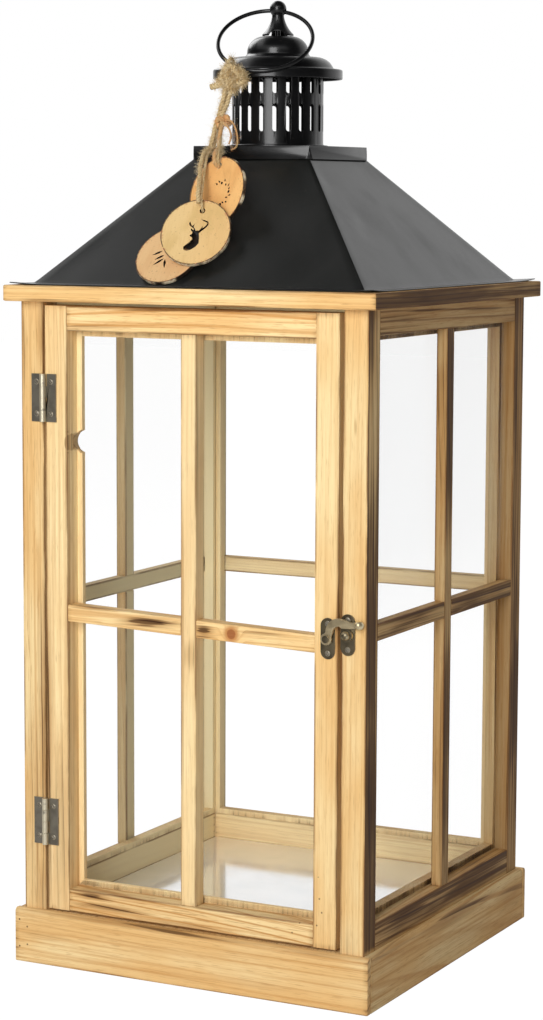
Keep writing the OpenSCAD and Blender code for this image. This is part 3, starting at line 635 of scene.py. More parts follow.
def rope(name, runs, radius, lay, sides=15):
    """Twine along each run: plies that turn round each other. UV is the run's length and the way round."""
    points, faces, uvs = [], [], []
    for run in runs:
        gone = lengths(run)
        faces += tube_faces(len(points), len(run), sides)
        for (here, _, side, up), at in zip(frames(run), gone):
            for k in range(sides):
                a = 2 * math.pi * k / sides
                out = radius * (0.93 + 0.09 * math.cos(PLIES * (a - 2 * math.pi * at / lay)))
                points.append(here + (side * math.cos(a) + up * math.sin(a)) * out)
        for u, far in zip(gone, gone[1:]):
            for k in range(sides):
                v, turned = k / sides, (k + 1) / sides
                uvs += [(u, v), (u, turned), (far, turned), (far, v)]
        uvs += [(gone[0], 0.0)] * sides + [(gone[-1], 0.0)] * sides
    piece = mesh_piece(name, points, faces)
    layer = piece.data.uv_layers.new(name="UVMap")
    for loop, uv in zip(layer.data, uvs):
        loop.uv = uv
    for face in piece.data.polygons:
        face.use_smooth = True
    return piece


THREAD_SIDES, THREAD_JOINTS, LEAN, CURL, SAG = 3, 6, 1.4, 0.28, 0.05


def fuzz(name, runs, many, length, thick, seed, lift):
    """Fibres that stand off the runs, each a thin curved three-sided thread."""
    rng = random.Random(seed)
    points, faces = [], []
    steps = [f for run in runs for f in frames(run)]
    for _ in range(many):
        here, ahead, side, up = rng.choice(steps)
        turn = rng.uniform(0, 2 * math.pi)
        out = side * math.cos(turn) + up * math.sin(turn)
        way = (out + ahead * rng.uniform(-LEAN, LEAN)).normalized()
        curl = Vector([rng.gauss(0, 1) for _ in range(3)]).normalized() * rng.uniform(0.2, 1.1)
        reach = length * rng.uniform(0.35, 1.3)
        at = here + out * lift
        faces += tube_faces(len(points), THREAD_JOINTS, THREAD_SIDES)
        for j in range(THREAD_JOINTS):
            wide = thick * (1 - 0.75 * j / (THREAD_JOINTS - 1))
            a = way.orthogonal().normalized()
            b = way.cross(a)
            for k in range(THREAD_SIDES):
                turn = 2 * math.pi * k / THREAD_SIDES
                points.append(at + (a * math.cos(turn) + b * math.sin(turn)) * wide)
            at = at + way * reach / THREAD_JOINTS
            way = (way + curl * CURL + Vector((0, 0, -SAG))).normalized()
    return mesh_piece(name, points, faces)


def tangle(centre, size, turn, steps=60):
    """A trefoil knot pulled up in a plane that faces the front right, as a closed run."""
    wide, tall, deep = [v * MM for v in size]
    normal = Vector((0.46, -0.88, 0.12)).normalized()
    side = normal.cross(Vector((0, 0, 1))).normalized()
    up = side.cross(normal)
    run = []
    for i in range(steps + 1):
        t = 2 * math.pi * i / steps
        x, y, z = math.sin(t) + 2 * math.sin(2 * t), math.cos(t) - 2 * math.cos(2 * t), -math.sin(3 * t)
        x, y = x * math.cos(turn) - y * math.sin(turn), x * math.sin(turn) + y * math.cos(turn)
        run.append(mm(*centre) + (side * x * wide + up * y * tall) / 3 + normal * z * deep)
    return run


def jute(name, tint=None):
    opt = bpy.context.scene.lantern_tags
    finish = Finish(name)
    run, way_round, _ = finish.parts(finish.node("UVMap", {"uv_map": "UVMap"}))
    lobe = (way_round - run / opt.lay) * (2 * PLIES * math.pi)
    ply = lobe.math("COSINE", lobe) * 0.5 + 0.5
    hairs = finish.grain(finish.join(run - way_round * 0.002, way_round, 0.0), (700, 42, 1), 3.0)
    patch = finish.grain(finish.point, (180, 180, 90))
    colour = finish.layers(opt.jute, (patch, 0.3, 0.7, 1.0, tone(226, 204, 158)),
                           (hairs, 0.5, 0.75, 0.5, tone(150, 118, 74)))
    # painted shade in the grooves between the plies
    colour = finish.mix((1 - ply) * 0.4, colour, tone(128, 98, 60))
    if tint:
        colour = finish.layers(colour, (patch, 0.25, 0.6, 0.6, tint))
    return finish.coat(Base_Color=colour, Roughness=0.86 + patch * 0.08,
                       Normal=finish.bump(hairs + ply * 0.5, 0.0004, 0.8), Specular_IOR_Level=0.2)


def jute_fibre(name, dark, pale):
    finish = Finish(name)
    patch = finish.grain(finish.point, (300, 300, 300), 1.0)
    colour = finish.layers(dark, (patch, 0.3, 0.7, 1.0, pale))
    return finish.coat(Base_Color=colour, Roughness=0.8 + patch * 0.1, Specular_IOR_Level=0.2)


def twine_runs():
    """The two runs of twine, as the solids have them."""
    turn, tilt = math.radians(12), math.radians(6)
    line = Vector((math.cos(turn) * math.cos(tilt), math.sin(turn) * math.cos(tilt), -math.sin(tilt)))
    ahead = Vector((math.sin(turn), -math.cos(turn), 0))
    up = ahead.cross(line)
    knot = mm(-14.5, -53.9, 683.4)
    # most of the way round the ring's wire, 4.4 mm from its middle
    loop = [knot + 4.4 * MM * (math.cos(math.radians(a)) * ahead + math.sin(math.radians(a)) * up)
            + (a / 75 - 1.5) * MM * line for a in range(-15, 236, 25)]
    stub = [mm(-25, -60, 668), mm(-20, -60.5, 672), mm(-16.5, -59.5, 677)]
    front = [(-14, -54.2, 678), (-15.2, -56.6, 672.5), (-17.5, -57.5, 665), (-20, -57.5, 656),
             (-21.5, -57.5, 648), (-23, -57.5, 641), (-24.5, -58, 632), (-25, -60, 623.5), (-24, -66, 620.5),
             (-21, -76, 617), (-17, -87.5, 612), (-13.5, -97, 602), (-10, -107, 589.5), (-7.8, -112, 582.5),
             (-6.7, -112.8, 578), (-6.9, -111.6, 574.9), (-7.3, -109.2, 572.9), (-8.8, -107.6, 570.5),
             (-13, -109, 566), (-17.5, -111, 563.2), (-19.5, -113.3, 559.6), (-19.5, -112.2, 556.4),
             (-19.5, -109.1, 553.9)]
    back = [(-11.6, -56.8, 673.5), (-14.6, -57.5, 665.8), (-17.2, -57.5, 656.8), (-18.7, -57.5, 648.5),
            (-20, -57.8, 641), (-20.3, -59.5, 633), (-18, -64, 625.5), (-12.5, -75, 619.5), (-7, -86, 618),
            (-5, -91, 615), (-4.8, -91.8, 610.8), (-4.3, -90, 607.8), (-2.9, -85.4, 606.2)]
    return stub + loop + spline([mm(*p) for p in front], 2), spline([mm(*p) for p in back], 2)


# The knots, round the ring's wire and where the strands part: each has its colour, its twine's radius and
# its tangles. A tangle has its middle, its size across, up and deep, and its turn.
KNOTS = {
    "ring_knot": ("golden", 0.0021, [((-9.5, -60.6, 675.5), (7.4, 7, 1.8), 0.4),
                                     ((-12.5, -60.2, 671), (6, 7.6, 2.2), 1.5),
                                     ((-6.4, -60.4, 671.5), (6.2, 5.8, 1.8), 2.6)]),
    "parting_knot": ("orange", 0.0017, [((-16.4, -61.4, 641.2), (5.6, 3.6, 1.6), 1.3),
                                        ((-19.2, -61, 640.2), (3.8, 3.6, 1.6), 0.3)]),
}

# The strands beside the two runs, each with its colour, its radius and its routes
STRANDS = {
    "twine_strands": ("golden", 0.0017, [
        [(-12.5, -60.6, 672), (-15.4, -61.4, 664.6), (-17.4, -61.2, 656.4), (-20.2, -61, 648),
         (-21.8, -61, 642)],
        [(-7.6, -60.6, 668), (-11.6, -61.6, 660), (-13.8, -61.6, 653.6), (-18, -61.2, 646.4),
         (-20, -61, 642)],
        [(-21.6, -61.4, 643), (-23.4, -62.4, 636.6), (-25.4, -62.8, 628), (-26.8, -64, 621.5),
         (-25.4, -70.6, 619.3), (-21.8, -83.2, 615.9), (-17.8, -94.6, 608), (-13.6, -104, 597.6),
         (-10.4, -111.4, 588), (-8.3, -115.4, 580.5)]]),
    "twine_stub": ("golden", 0.0024, [
        [(-14, -61.8, 671.5), (-18.4, -62.4, 668.6), (-23, -62.2, 667.2), (-27.2, -61.8, 666.6)]]),
    "orange_strand": ("orange", 0.0017, [
        [(-17.5, -61.6, 640), (-19.4, -61.6, 633), (-20.4, -61.4, 626), (-19.8, -62.4, 620.4),
         (-15.2, -73.2, 619), (-10.6, -84.6, 617.8), (-8, -91.4, 614), (-6.6, -92.6, 609.4),
         (-4.4, -89.4, 606.4)]]),
    "loose_loop": ("orange", 0.00075, [
        [(-15, -62.6, 641.6), (-9.6, -63, 641), (-6.2, -62.6, 636), (-4.6, -62, 628), (-5.6, -62, 622),
         (-10, -62.4, 619.6)],
        [(-16, -63, 639), (-11.4, -63.6, 636), (-9.4, -63.2, 630), (-11.6, -62.6, 624)]]),
}

# The points of the main run that lie over the discs, where its nap is left off
OVER_DISCS = 150


class LANTERN_OT_hang_twine(bpy.types.Operator):
    """Hangs the twine of the tags on the ring, with its knots, strands and loose fibres"""

    bl_idname = "lantern.hang_twine"
    bl_label = "Hang the twine"

    def execute(self, context):
        opt = context.scene.lantern_tags
        main, second = [even(spline(run, 4), 0.0006) for run in twine_runs()]
        main.reverse()
        colours = {"golden": jute("jute_twine"), "orange": jute("jute_orange", tone(214, 142, 78))}
        hair = jute_fibre("jute_fibre", tone(194, 162, 110), tone(244, 228, 190))
        warm_hair = jute_fibre("orange_fibre", tone(188, 116, 62), tone(232, 178, 120))
        white = jute_fibre("pale_fibre", tone(212, 206, 194), tone(250, 248, 240))

        def jute_piece(piece, colour, *stands_for):
            return settle(piece, piece.name, colour, "tags", "jute", stands_for)

        routes = {"twine": (main, "tag_twine"), "second_twine": (second, "back_tag_twine")}
        cords = [jute_piece(rope(name, [run], opt.twine / 2, opt.lay), colours["golden"], node)
                 for name, (run, node) in routes.items()]
        pieces, runs = [], {}
        for name, (colour, thick, tangles) in KNOTS.items():
            runs[name] = [tangle(*t) for t in tangles]
            close = [even(spline(r, 2), 0.0008) for r in runs[name]]
            pieces.append(jute_piece(rope(name, close, thick, opt.lay), colours[colour]))
        for name, (colour, thick, routes) in STRANDS.items():
            runs[name] = [even(spline([mm(*p) for p in route], 6), 0.0008) for route in routes]
            pieces.append(jute_piece(rope(name, runs[name], thick, opt.lay), colours[colour]))
        upper, loose = runs["ring_knot"], runs["loose_loop"]
        bundle = [main[OVER_DISCS:], second, *runs["twine_strands"], *runs["twine_stub"], *upper]
        warm = [*runs["orange_strand"], *runs["parting_knot"], *loose]
        downy = tangle((-12.4, -60.6, 627.5), (4.4, 5, 1.4), 0.8)
        for name, along, many, length, thick, seed, colour, lift in (
                ("knot_nap", upper, opt.nap * 2, 0.0052, 0.00013, 2, hair, 0.0021),
                ("twine_nap", bundle, opt.nap * 2, 0.0042, 0.00012, 3, hair, 0.0015),
                ("orange_nap", warm, opt.nap // 4, 0.0034, 0.00008, 5, warm_hair, 0.0012),
                ("twine_fibres", [*bundle, *upper, *warm], opt.fibres, opt.fibre, 0.00007, 7, hair, 0.0007),
                ("downy_fibres", [downy, loose[1]], opt.fibres // 2, 0.005, 0.00006, 11, white, 0.0004)):
            pieces.append(jute_piece(fuzz(name, along, many, length, thick, seed, lift), colour))
        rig.cord(cords[0], exit=main[0], length=lengths(main)[-1], diameter=opt.twine, far_end="bare",
                stiffness="limp", lay="hanging", path=main, with_pieces=pieces)
        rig.cord(cords[1], exit=second[0], length=lengths(second)[-1], diameter=opt.twine, far_end="object",
                stiffness="limp", lay="hanging", path=second)
        return {"FINISHED"}


# ---------- tags ----------


def disc_frame(turn, rise):
    """A disc's own directions across, up and out of its face."""
    turn, rise = math.radians(turn), math.radians(rise)
    across = Vector((math.cos(turn), math.sin(turn), 0))
    out = Vector((math.sin(turn) * math.cos(rise), -math.cos(turn) * math.cos(rise), math.sin(rise)))
    return across, out.cross(across), out


def disc_wood(name, centre, axes, radius, face, tints, seed, soot):
    """A slice of branch wood: a cloudy face tinted from left to right, a dotted line by the rim, a pale
    mottled edge, walls burnt dark in the holes, and a painted shadow on what lies behind another disc's figure."""
    finish = Finish(name)
    x, y = [finish.dot(finish.off(centre), tuple(a)) for a in axes[:2]]
    flat = finish.join(x, y, 0.0)
    whole = finish.length(flat) / radius
    shift = (seed, seed * 2, seed * 3)
    cloud = finish.grain(flat, (60, 34, 60), 3.0, shift)
    fibre = finish.grain(flat, (900, 60, 60), 3.0, shift)
    speck = finish.grain(finish.point, (700, 700, 700))
    bark = finish.grain(finish.point, (380, 380, 380), 3.0)
    ring = finish.length(finish.vector("ADD", flat, (0.006, 0.011, 0))) / 0.0019 + cloud * 1.4
    ring = ring.math("SINE", ring * (2 * math.pi)) * 0.5 + 0.5
    colour = finish.layers(face, (x / radius + cloud * 0.6, -0.5, 1.1, 1.0, tints[0]),
                           (cloud, 0.42, 0.7, 0.6, tints[1]), (fibre, 0.5, 0.8, 0.3, tone(196, 146, 86)))
    colour = finish.mix(ring * 0.04, colour, tone(186, 134, 76))
    colour = finish.layers(colour, (speck, 0.66, 0.74, 0.5, tone(120, 82, 48)))
    # the arris: a thin scorched line, broken, and pinkish dots inside it
    line = whole.rise(0.955, 0.972) * whole.fall(0.99, 1.0)
    colour = finish.mix(line * speck.rise(0.3, 0.42) * 0.95, colour, tone(70, 44, 28))
    dots = whole.rise(0.9, 0.94) * finish.grain(finish.point, (420, 420, 420), 1.0).rise(0.56, 0.64)
    colour = finish.mix(dots * 0.5, colour, tone(176, 104, 74))
    rim = whole.rise(0.985, 0.996)
    edge = finish.mix(bark.rise(0.5, 0.66), tone(238, 222, 188), tone(150, 104, 72))
    side = abs(finish.dot(finish.facing(), tuple(axes[2]))).fall(0.4, 0.7)
    colour = finish.mix(rim * side, colour, edge)
    burnt = finish.mix(bark.rise(0.35, 0.65), tone(20, 15, 12), tone(46, 33, 24))
    colour = finish.mix((1 - rim) * side, colour, burnt)
    # a painted shadow: the dark seen through the front disc's stag, laid on the discs behind it
    if soot:
        colour = finish.mix(finish.length(finish.off(soot)).fall(0.011, 0.014), colour, burnt)
    return finish.coat(Base_Color=colour, Roughness=0.6 + fibre * 0.15,
                       Normal=finish.bump(fibre + cloud, 0.00025, 0.5), Specular_IOR_Level=0.3)


# Each disc: its node, its middle, how far it is turned and tipped back, its radius, its property for the
# face's colour, the two tints on it and its seed
DISCS = (
    ("tag_front", (-8, -119.5, 558.7), 10, 29, 27, "front", (226, 186, 126), (204, 170, 108), 1.0),
    ("tag_back", (-3, -95.3, 588.1), -16, 16.5, 27, "back", (240, 188, 120), (214, 150, 84), 4.0),
    ("tag_low", (-29.5, -122.6, 541.7), 0, 38.5, 25.7, "low", (226, 186, 134), (208, 158, 108), 8.0),
)
# Where the shadow seen through the front disc's stag is painted on the discs behind
STAG_SHADOW_AT = (-9, -116, 556)


class LANTERN_OT_cut_tags(bpy.types.Operator):
    """Cuts the hanging discs: slices of branch wood, with uneven rims and pierced figures"""

    bl_idname = "lantern.cut_tags"
    bl_label = "Cut the tags"

    def execute(self, context):
        for node, at, turn, rise, radius, face, first, second, seed in DISCS:
            centre, axes = mm(*at), disc_frame(turn, rise)
            piece = copy_of(node)
            for v in piece.data.vertices:
                away = v.co - centre
                flat = away - axes[2] * away.dot(axes[2])
                if flat.length > (radius - 0.2) * MM:
                    bulge = noise.noise(flat * 130 + Vector((seed, 0, 0))) * 0.00045 - 0.0002
                    v.co += flat.normalized() * bulge
            ease(piece, 0.00025, 2, 50)
            colour = tuple(getattr(context.scene.lantern_tags, face))
            # the discs behind the front one take the painted shadow seen through its stag
            soot = None if node == "tag_front" else mm(*STAG_SHADOW_AT)
            wood = disc_wood(node + "_wood", centre, axes, radius * MM, colour, (tone(*first), tone(*second)),
                             seed, soot)
            settle(piece, node + "_disc", wood, "tags", "tag_wood", [node])
        return {"FINISHED"}


# ---------- woodwork ----------


# A mark has its place, its size along x, y and z in millimetres, and its strength.


def front(*rows):
    """Marks on the door's and posts' front face, by x and z."""
    return [(x, -144, z, wide, 6, tall, strength) for x, z, wide, tall, strength in rows]


def right(*rows):
    """Marks on the right panel's outer face, by y and z."""
    return [(144, y, z, 6, wide, tall, strength) for y, z, wide, tall, strength in rows]


# The loose knot's hole in the door's hinge side, browned round its rim
KNOT_HOLE = [(-98.2, -135, 402, 8.5, 60, 8.5, 0.6)]

# Burns on the boards of the panels
PANEL_BURNS = {
    "right_bottom_rail": right((-70, 56, 60, 9, 1.0), (-20, 66, 40, 5, 1.0), (60, 58, 50, 5, 0.8)),
    "right_top_rail": right((60, 500, 60, 6, 0.8), (-40, 503, 60, 3, 0.9)),
    "right_crossbar": right((10, 272, 40, 4, 1.0), (-70, 280, 40, 2, 0.6)),
    "right_mullion": right((-6, 150, 3, 130, 0.7), (-6, 400, 3, 90, 0.5)),
}

# Each board: its node, the grain's axis, the pith's place, taper, figure, scorch, shade (partly painted shade), pitch
# and marks
BOARDS = {
    "plinth": [
        ("plinth_front_back_boards", "x", (90, 90), 0.012, 0.4, 0.02, 0.13, 1.6, {
            "nail": [(-146, -150, 33, 0.9, 2, 0.9, 0.9), (-139, -150, 28, 0.9, 2, 0.9, 0.8),
                     (-146, -150, 12, 0.9, 2, 0.9, 0.9), (-139, -150, 14, 0.9, 2, 0.9, 0.8)],
            "burn": [(-40, -150, 41, 130, 5, 3, 0.8), (110, -150, 41, 40, 5, 3, 0.5),
                     (-120, -150, 22, 30, 5, 5, 0.25), (60, -150, 10, 50, 5, 4, 0.2)]}),
        ("plinth_side_boards", "y", (50, 40), 0.03, 0.7, 0.1, 0.22, 1.4, {
            "burn": [(150, 0, 36, 5, 90, 7, 0.85), (150, 120, 24, 5, 40, 14, 0.5),
                     (150, -100, 40, 5, 50, 4, 0.7)]}),
        ("base_battens", "y", (30, 30), 0.01, 0.4, 0.0, 0.2, 1.0, {}),
        ("floor_board", "x", (10, 60), 0.02, 0.4, 0.0, 0.1, 1.0, {}),
    ],
    "posts": [
        ("front_left_post", "z", (70, -60), 0.006, 0.45, 0.06, 0.1, 1.1, {
            "burn": [(-125, -144, 180, 9, 6, 150, 0.9), (-134, -144, 120, 12, 6, 120, 0.4),
                     (-128, -144, 60, 10, 6, 40, 0.6), (-143, -144, 470, 4, 5, 40, 0.6),
                     (-127, -144, 485, 5, 5, 40, 0.7), (-144, -144, 90, 3, 5, 60, 0.4)]}),
        ("front_right_post", "z", (-80, 40), 0.006, 0.25, 0.0, 0.1, 1.2, {
            # the two burns on the right-hand face (x 144) are partly painted shade, as that face stood in shade
            "burn": [(144, -126, 260, 6, 7, 300, 0.75), (144, -134, 480, 6, 8, 60, 0.6),
                     (134, -144, 424, 1.2, 6, 8, 0.6), (131, -144, 30, 14, 6, 40, 0.35)]}),
        ("back_left_post", "z", (60, 60), 0.006, 0.35, -0.1, -0.7, 1.0, {}),
        ("back_right_post", "z", (-64, -60), 0.01, 0.45, 0.2, 0.66, 1.0, {
            # burns on the right-hand face, partly painted shade
            "burn": right((134, 380, 10, 70, 0.9), (126, 120, 8, 100, 0.7))}),
    ],
    "panels": [
        (f"{side}_{part}", along, heart, 0.012, figure, scorch, shade, 1.0,
         {"burn": PANEL_BURNS.get(f"{side}_{part}", ())})
        # each side's shade: on the right side it is painted shade, as that side stood in shade
        for side, flat, shade, scorch in (
            ("left", "y", -0.9, -0.1), ("right", "y", 0.32, 0.2), ("back", "x", -0.5, -0.1))
        for part, along, heart, figure in (
            ("top_rail", flat, (60, 40), 0.7), ("bottom_rail", flat, (30, 30), 0.8),
            ("mullion", "z", (60, 40), 0.4), ("crossbar", flat, (50, 60), 0.5), ("beads", "z", (60, 60), 0.3))
    ],
    "top": [
        ("top_board_front", "x", (60, 90), 0.008, 0.4, 0.0, 0.0, 1.0, {
            "burn": [(60, -154, 518, 60, 6, 2, 0.5), (-120, -154, 508, 30, 6, 2, 0.5)]}),
        ("top_board_back", "x", (-24, 60), 0.01, 0.5, 0.06, 0.1, 0.9, {}),
        ("top_board_left", "y", (40, 60), 0.01, 0.5, 0.06, 0.1, 0.9, {}),
        ("top_board_right", "y", (-24, 60), 0.012, 0.7, 0.2, 0.25, 0.9, {
            "burn": [(154, 60, 513, 6, 40, 6, 0.8), (154, -90, 517, 6, 60, 3, 0.7)]}),
    ],
    "door": [
        ("door_hinge_stile", "z", (60, -50), 0.012, 0.7, 0.02, -0.25, 1.1, {
            "burn": front((-123, 180, 7, 160, 0.9), (-112, 110, 11, 90, 0.55), (-104, 250, 2, 180, 0.6),
                          (-103, 410, 3.4, 1.8, 1.2), (-103, 394.4, 3.4, 1.8, 1.2)),
            "rim": KNOT_HOLE}),
        ("door_latch_stile", "z", (-50, 26), 0.016, 0.14, -0.04, 0.07, 1.4, {
            "nail": [(108, -144, 80, 0.8, 2, 0.8, 0.8), (110, -144, 70, 0.8, 2, 0.8, 0.8),
                     (106, -144, 60, 0.8, 2, 0.8, 0.8), (107, -144, 96, 0.6, 2, 0.6, 0.6)],
            "burn": front((121, 250, 1.6, 260, 0.6))}),
        ("door_top_rail", "x", (70, -24), 0.006, 0.8, 0.04, 0.0, 0.9, {
            "burn": front((-20, 503, 90, 2, 0.6), (-80, 489, 40, 3, 0.4))}),
        ("door_bottom_rail", "x", (12, 26), 0.07, 0.9, 0.04, 0.1, 1.5, {
            "burn": front((-84, 58, 24, 4, 1.0), (-70, 50, 42, 4, 0.9), (-10, 46, 60, 2, 0.5)),
            "nail": [(92, -144, 60, 0.8, 2, 0.8, 0.7), (86, -144, 52, 0.8, 2, 0.8, 0.7)]}),
        ("door_mullion", "z", (70, 40), 0.006, 0.3, 0.0, -0.35, 0.9, {
            "burn": front((-6, 270, 2.4, 150, 0.75), (6, 400, 1.6, 120, 0.6), (0, 250, 9, 16, 0.5))}),
        ("door_crossbar", "x", (60, 30), 0.01, 0.5, 0.0, 0.0, 1.0, {
            "knot": [(35, -144, 268.5, 4.2, 5, 4.2, 1.0)],
            "burn": front((-36, 272, 34, 6, 1.15), (12, 269, 13, 5, 1.15), (-80, 279, 30, 3, 0.9),
                          (60, 271, 26, 2, 0.5))}),
        ("door_beads", "z", (60, 60), 0.01, 0.35, -0.02, -0.3, 1.0, {
            "rim": KNOT_HOLE,
            "burn": [(-101, -138, 410.6, 4, 6, 1.8, 1.2), (-101, -138, 393.6, 4, 6, 1.8, 1.2)]}),
    ],
}


class BoardStep:
    """Makes one group of boards: each with its edges eased and its own grain"""

    def execute(self, context):
        eased = context.scene.lantern_pine.eased
        for number, (node, along, *look, marks) in enumerate(BOARDS[self.group]):
            bead = "beads" in node
            seed = sum(ord(c) for c in node) % 17 + number * 0.37
            wood = pine(node + "_wood", along, *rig.box(node), *look, marks, seed, 0.0 if bead else 0.7)
            dress(node, "_board", wood, "pine", (eased * (0.5 if bead else 1.0),))
        return {"FINISHED"}


class LANTERN_OT_join_plinth(BoardStep, bpy.types.Operator):
    """Joins the plinth's boards, the battens inside them and the floor board"""

    bl_idname = "lantern.join_plinth"
    bl_label = "Join the plinth"
    group = "plinth"


class LANTERN_OT_set_posts(BoardStep, bpy.types.Operator):
    """Sets the corner posts"""

    bl_idname = "lantern.set_posts"
    bl_label = "Set the posts"
    group = "posts"


class LANTERN_OT_fill_panels(BoardStep, bpy.types.Operator):
    """Fills the left, right and back sides with rails, bars and beads"""

    bl_idname = "lantern.fill_panels"
    bl_label = "Fill the panels"
    group = "panels"


class LANTERN_OT_lay_top(BoardStep, bpy.types.Operator):
    """Lays the boards under the roof's flange"""

    bl_idname = "lantern.lay_top"
    bl_label = "Lay the top boards"
    group = "top"


class LANTERN_OT_frame_door(BoardStep, bpy.types.Operator):
    """Frames the door: stiles, rails, bars and beads"""

    bl_idname = "lantern.frame_door"
    bl_label = "Frame the door"
    group = "door"


# ---------- glass ----------


def window_glass(name, cloud):
    finish = Finish(name)
    smear = finish.grain(finish.point, (14, 14, 5), 4.0, (cloud * 7, 0, 0))
    edge = finish.node("Fresnel", None, {"IOR": 1.45})
    high = finish.parts(finish.point)[2]
    # the pane grows more opaque at grazing angles: partly its real reflection, partly a painted reflection in its pale
    # colour
    alpha = 0.001 + edge * 0.04 + (smear.rise(0.4, 0.8) * 0.3 + 0.7) * high.rise(0.24, 0.34, cloud)
    colour = finish.mix(smear, tone(236, 240, 240), tone(222, 228, 226))
    return finish.coat(Base_Color=colour, Roughness=0.03 + smear * 0.04, Alpha=alpha, Specular_IOR_Level=0.5)


def mirror_plate(name):
    finish = Finish(name)
    haze = finish.grain(finish.point, (16, 16, 16), 4.0)
    fine = finish.grain(finish.point, (90, 90, 90), 4.0)
    colour = finish.layers(tone(255, 255, 254), (haze, 0.35, 0.7, 1.0, tone(240, 243, 244)))
    return finish.coat(Base_Color=colour, Roughness=0.1 + fine.rise(0.4, 0.8, 0.14), Metallic=0.5,
                       Coat_Weight=1.0, Coat_Roughness=0.08)


class LANTERN_OT_glaze(bpy.types.Operator):
    """Puts the finish on the panes and on the pale plate of the floor"""

    bl_idname = "lantern.glaze"
    bl_label = "Glaze"

    def execute(self, context):
        for node in ("left_glass", "right_glass", "back_glass", "door_glass"):
            pane, cloud = NODES[node], 0.08 if node == "right_glass" else 0.0
            pane.data.materials.clear()
            pane.data.materials.append(window_glass(node + "_glass", cloud))
            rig.slot(pane, "glass")
        dress("floor_plate", "_sheet", mirror_plate("floor_mirror"), "floor_plate", (0.0003,))
        return {"FINISHED"}


# ---------- roof and vent ----------


def black_paint(name, colour, rough, coat, peel):
    finish = Finish(name)
    skin = finish.grain(finish.point, (1500, 1500, 1500))
    smear = finish.grain(finish.point, (30, 30, 12), 4.0)
    dust = finish.grain(finish.point, (260, 260, 260), 3.0)
    shade = finish.layers(tuple(colour), (smear, 0.44, 0.78, 0.3, tone(40, 40, 39)),
                          (dust, 0.68, 0.8, 0.2, tone(78, 74, 66)))
    return finish.coat(Base_Color=shade, Roughness=rough + smear.rise(0.4, 0.8, 0.1), Coat_Weight=coat,
                       Coat_Roughness=0.16, Specular_IOR_Level=0.2,
                       Normal=finish.bump(skin + smear * 3, peel, 0.5))


# The roof in metres: its slopes' foot and rim from the middle, where they start and how high they stand,
# the zone that is dented, and the way that the slopes look, outward and up
ROOF_FOOT, ROOF_RIM = 0.1374, 0.0494
SLOPE_START, SLOPE_HEIGHT, SLOPE_END = 0.520, 0.093, 0.613
DENTS_LOW, DENTS_HIGH = 0.5203, 0.6125
SLOPE_OUT, SLOPE_UP = 0.726, 0.687

# Each dent's middle and width in millimetres, and its share of the deepest
DENTS = (((66, -48, 608), 5, 0.9), ((70, -52, 603), 9, 0.7), ((95, -45, 571), 12, 0.6),
         ((102, -60, 560), 8, 0.4), ((-80, -20, 560), 22, 0.5), ((20, -100, 560), 26, 0.35))


class LANTERN_OT_fold_roof(bpy.types.Operator):
    """Folds the roof from sheet: flange, slopes with rounded hips and small dents, and the upper rim"""

    bl_idname = "lantern.fold_roof"
    bl_label = "Fold the roof"

    def execute(self, context):
        opt = context.scene.lantern_metal
        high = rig.box("roof_sheet")[1]
        neck = high.z - SLOPE_END
        slim = (ROOF_RIM - neck * (ROOF_FOOT - ROOF_RIM) / SLOPE_HEIGHT) / ROOF_RIM
        bpy.ops.object.select_all(action="DESELECT")
        bpy.ops.mesh.primitive_plane_add(size=2 * high.x, location=(0, 0, SLOPE_START))
        piece = bpy.context.object
        bpy.ops.object.mode_set(mode="EDIT")
        bpy.ops.mesh.select_all(action="SELECT")
        bpy.ops.mesh.inset(thickness=high.x - ROOF_FOOT, depth=0)
        for rise, scale in ((SLOPE_HEIGHT, ROOF_RIM / ROOF_FOOT), (neck, slim)):
            bpy.ops.mesh.extrude_region_move(TRANSFORM_OT_translate={"value": (0, 0, rise)})
            bpy.ops.transform.resize(value=(scale, scale, 1))
        bpy.ops.mesh.delete(type="FACE")
        bpy.ops.mesh.select_all(action="SELECT")
        bpy.ops.mesh.subdivide(number_cuts=30)
        bpy.ops.object.mode_set(mode="OBJECT")
        for v in piece.data.vertices:
            p = v.co.copy() + piece.location
            if DENTS_LOW < p.z < DENTS_HIGH:
                out = Vector((p.x, 0, 0)) if abs(p.x) > abs(p.y) else Vector((0, p.y, 0))
                inward = -(out.normalized() * SLOPE_OUT + Vector((0, 0, SLOPE_UP)))
                depth = 0.00025 * (noise.noise(p * 22) + 0.4)
                depth += sum(opt.dent * share * math.exp(-((p - mm(*middle)).length / (width * MM)) ** 2)
                             for middle, width, share in DENTS)
                ends = min(1, (p.z - DENTS_LOW) / 0.01, (DENTS_HIGH - p.z) / 0.01)
                side = min(1, abs(abs(p.x) - abs(p.y)) / 0.012)
                v.co += inward * max(0, depth) * ends * side
            elif p.z < DENTS_LOW:
                corner = max(0, (min(abs(p.x), abs(p.y)) - 0.12) / 0.03)
                v.co.z += 0.0012 * corner ** 2
        modify(piece, "SOLIDIFY", thickness=0.0008, offset=-1)
        ease(piece, opt.hip * 0.5, 3, 20)
        smooth(piece, 50)
        settle(piece, "roof_shell", black_paint("roof_paint", opt.roof, 0.4, 0.42, 0.00012), "roof_sheet",
               "roof_paint", ["roof_sheet"])
        return {"FINISHED"}


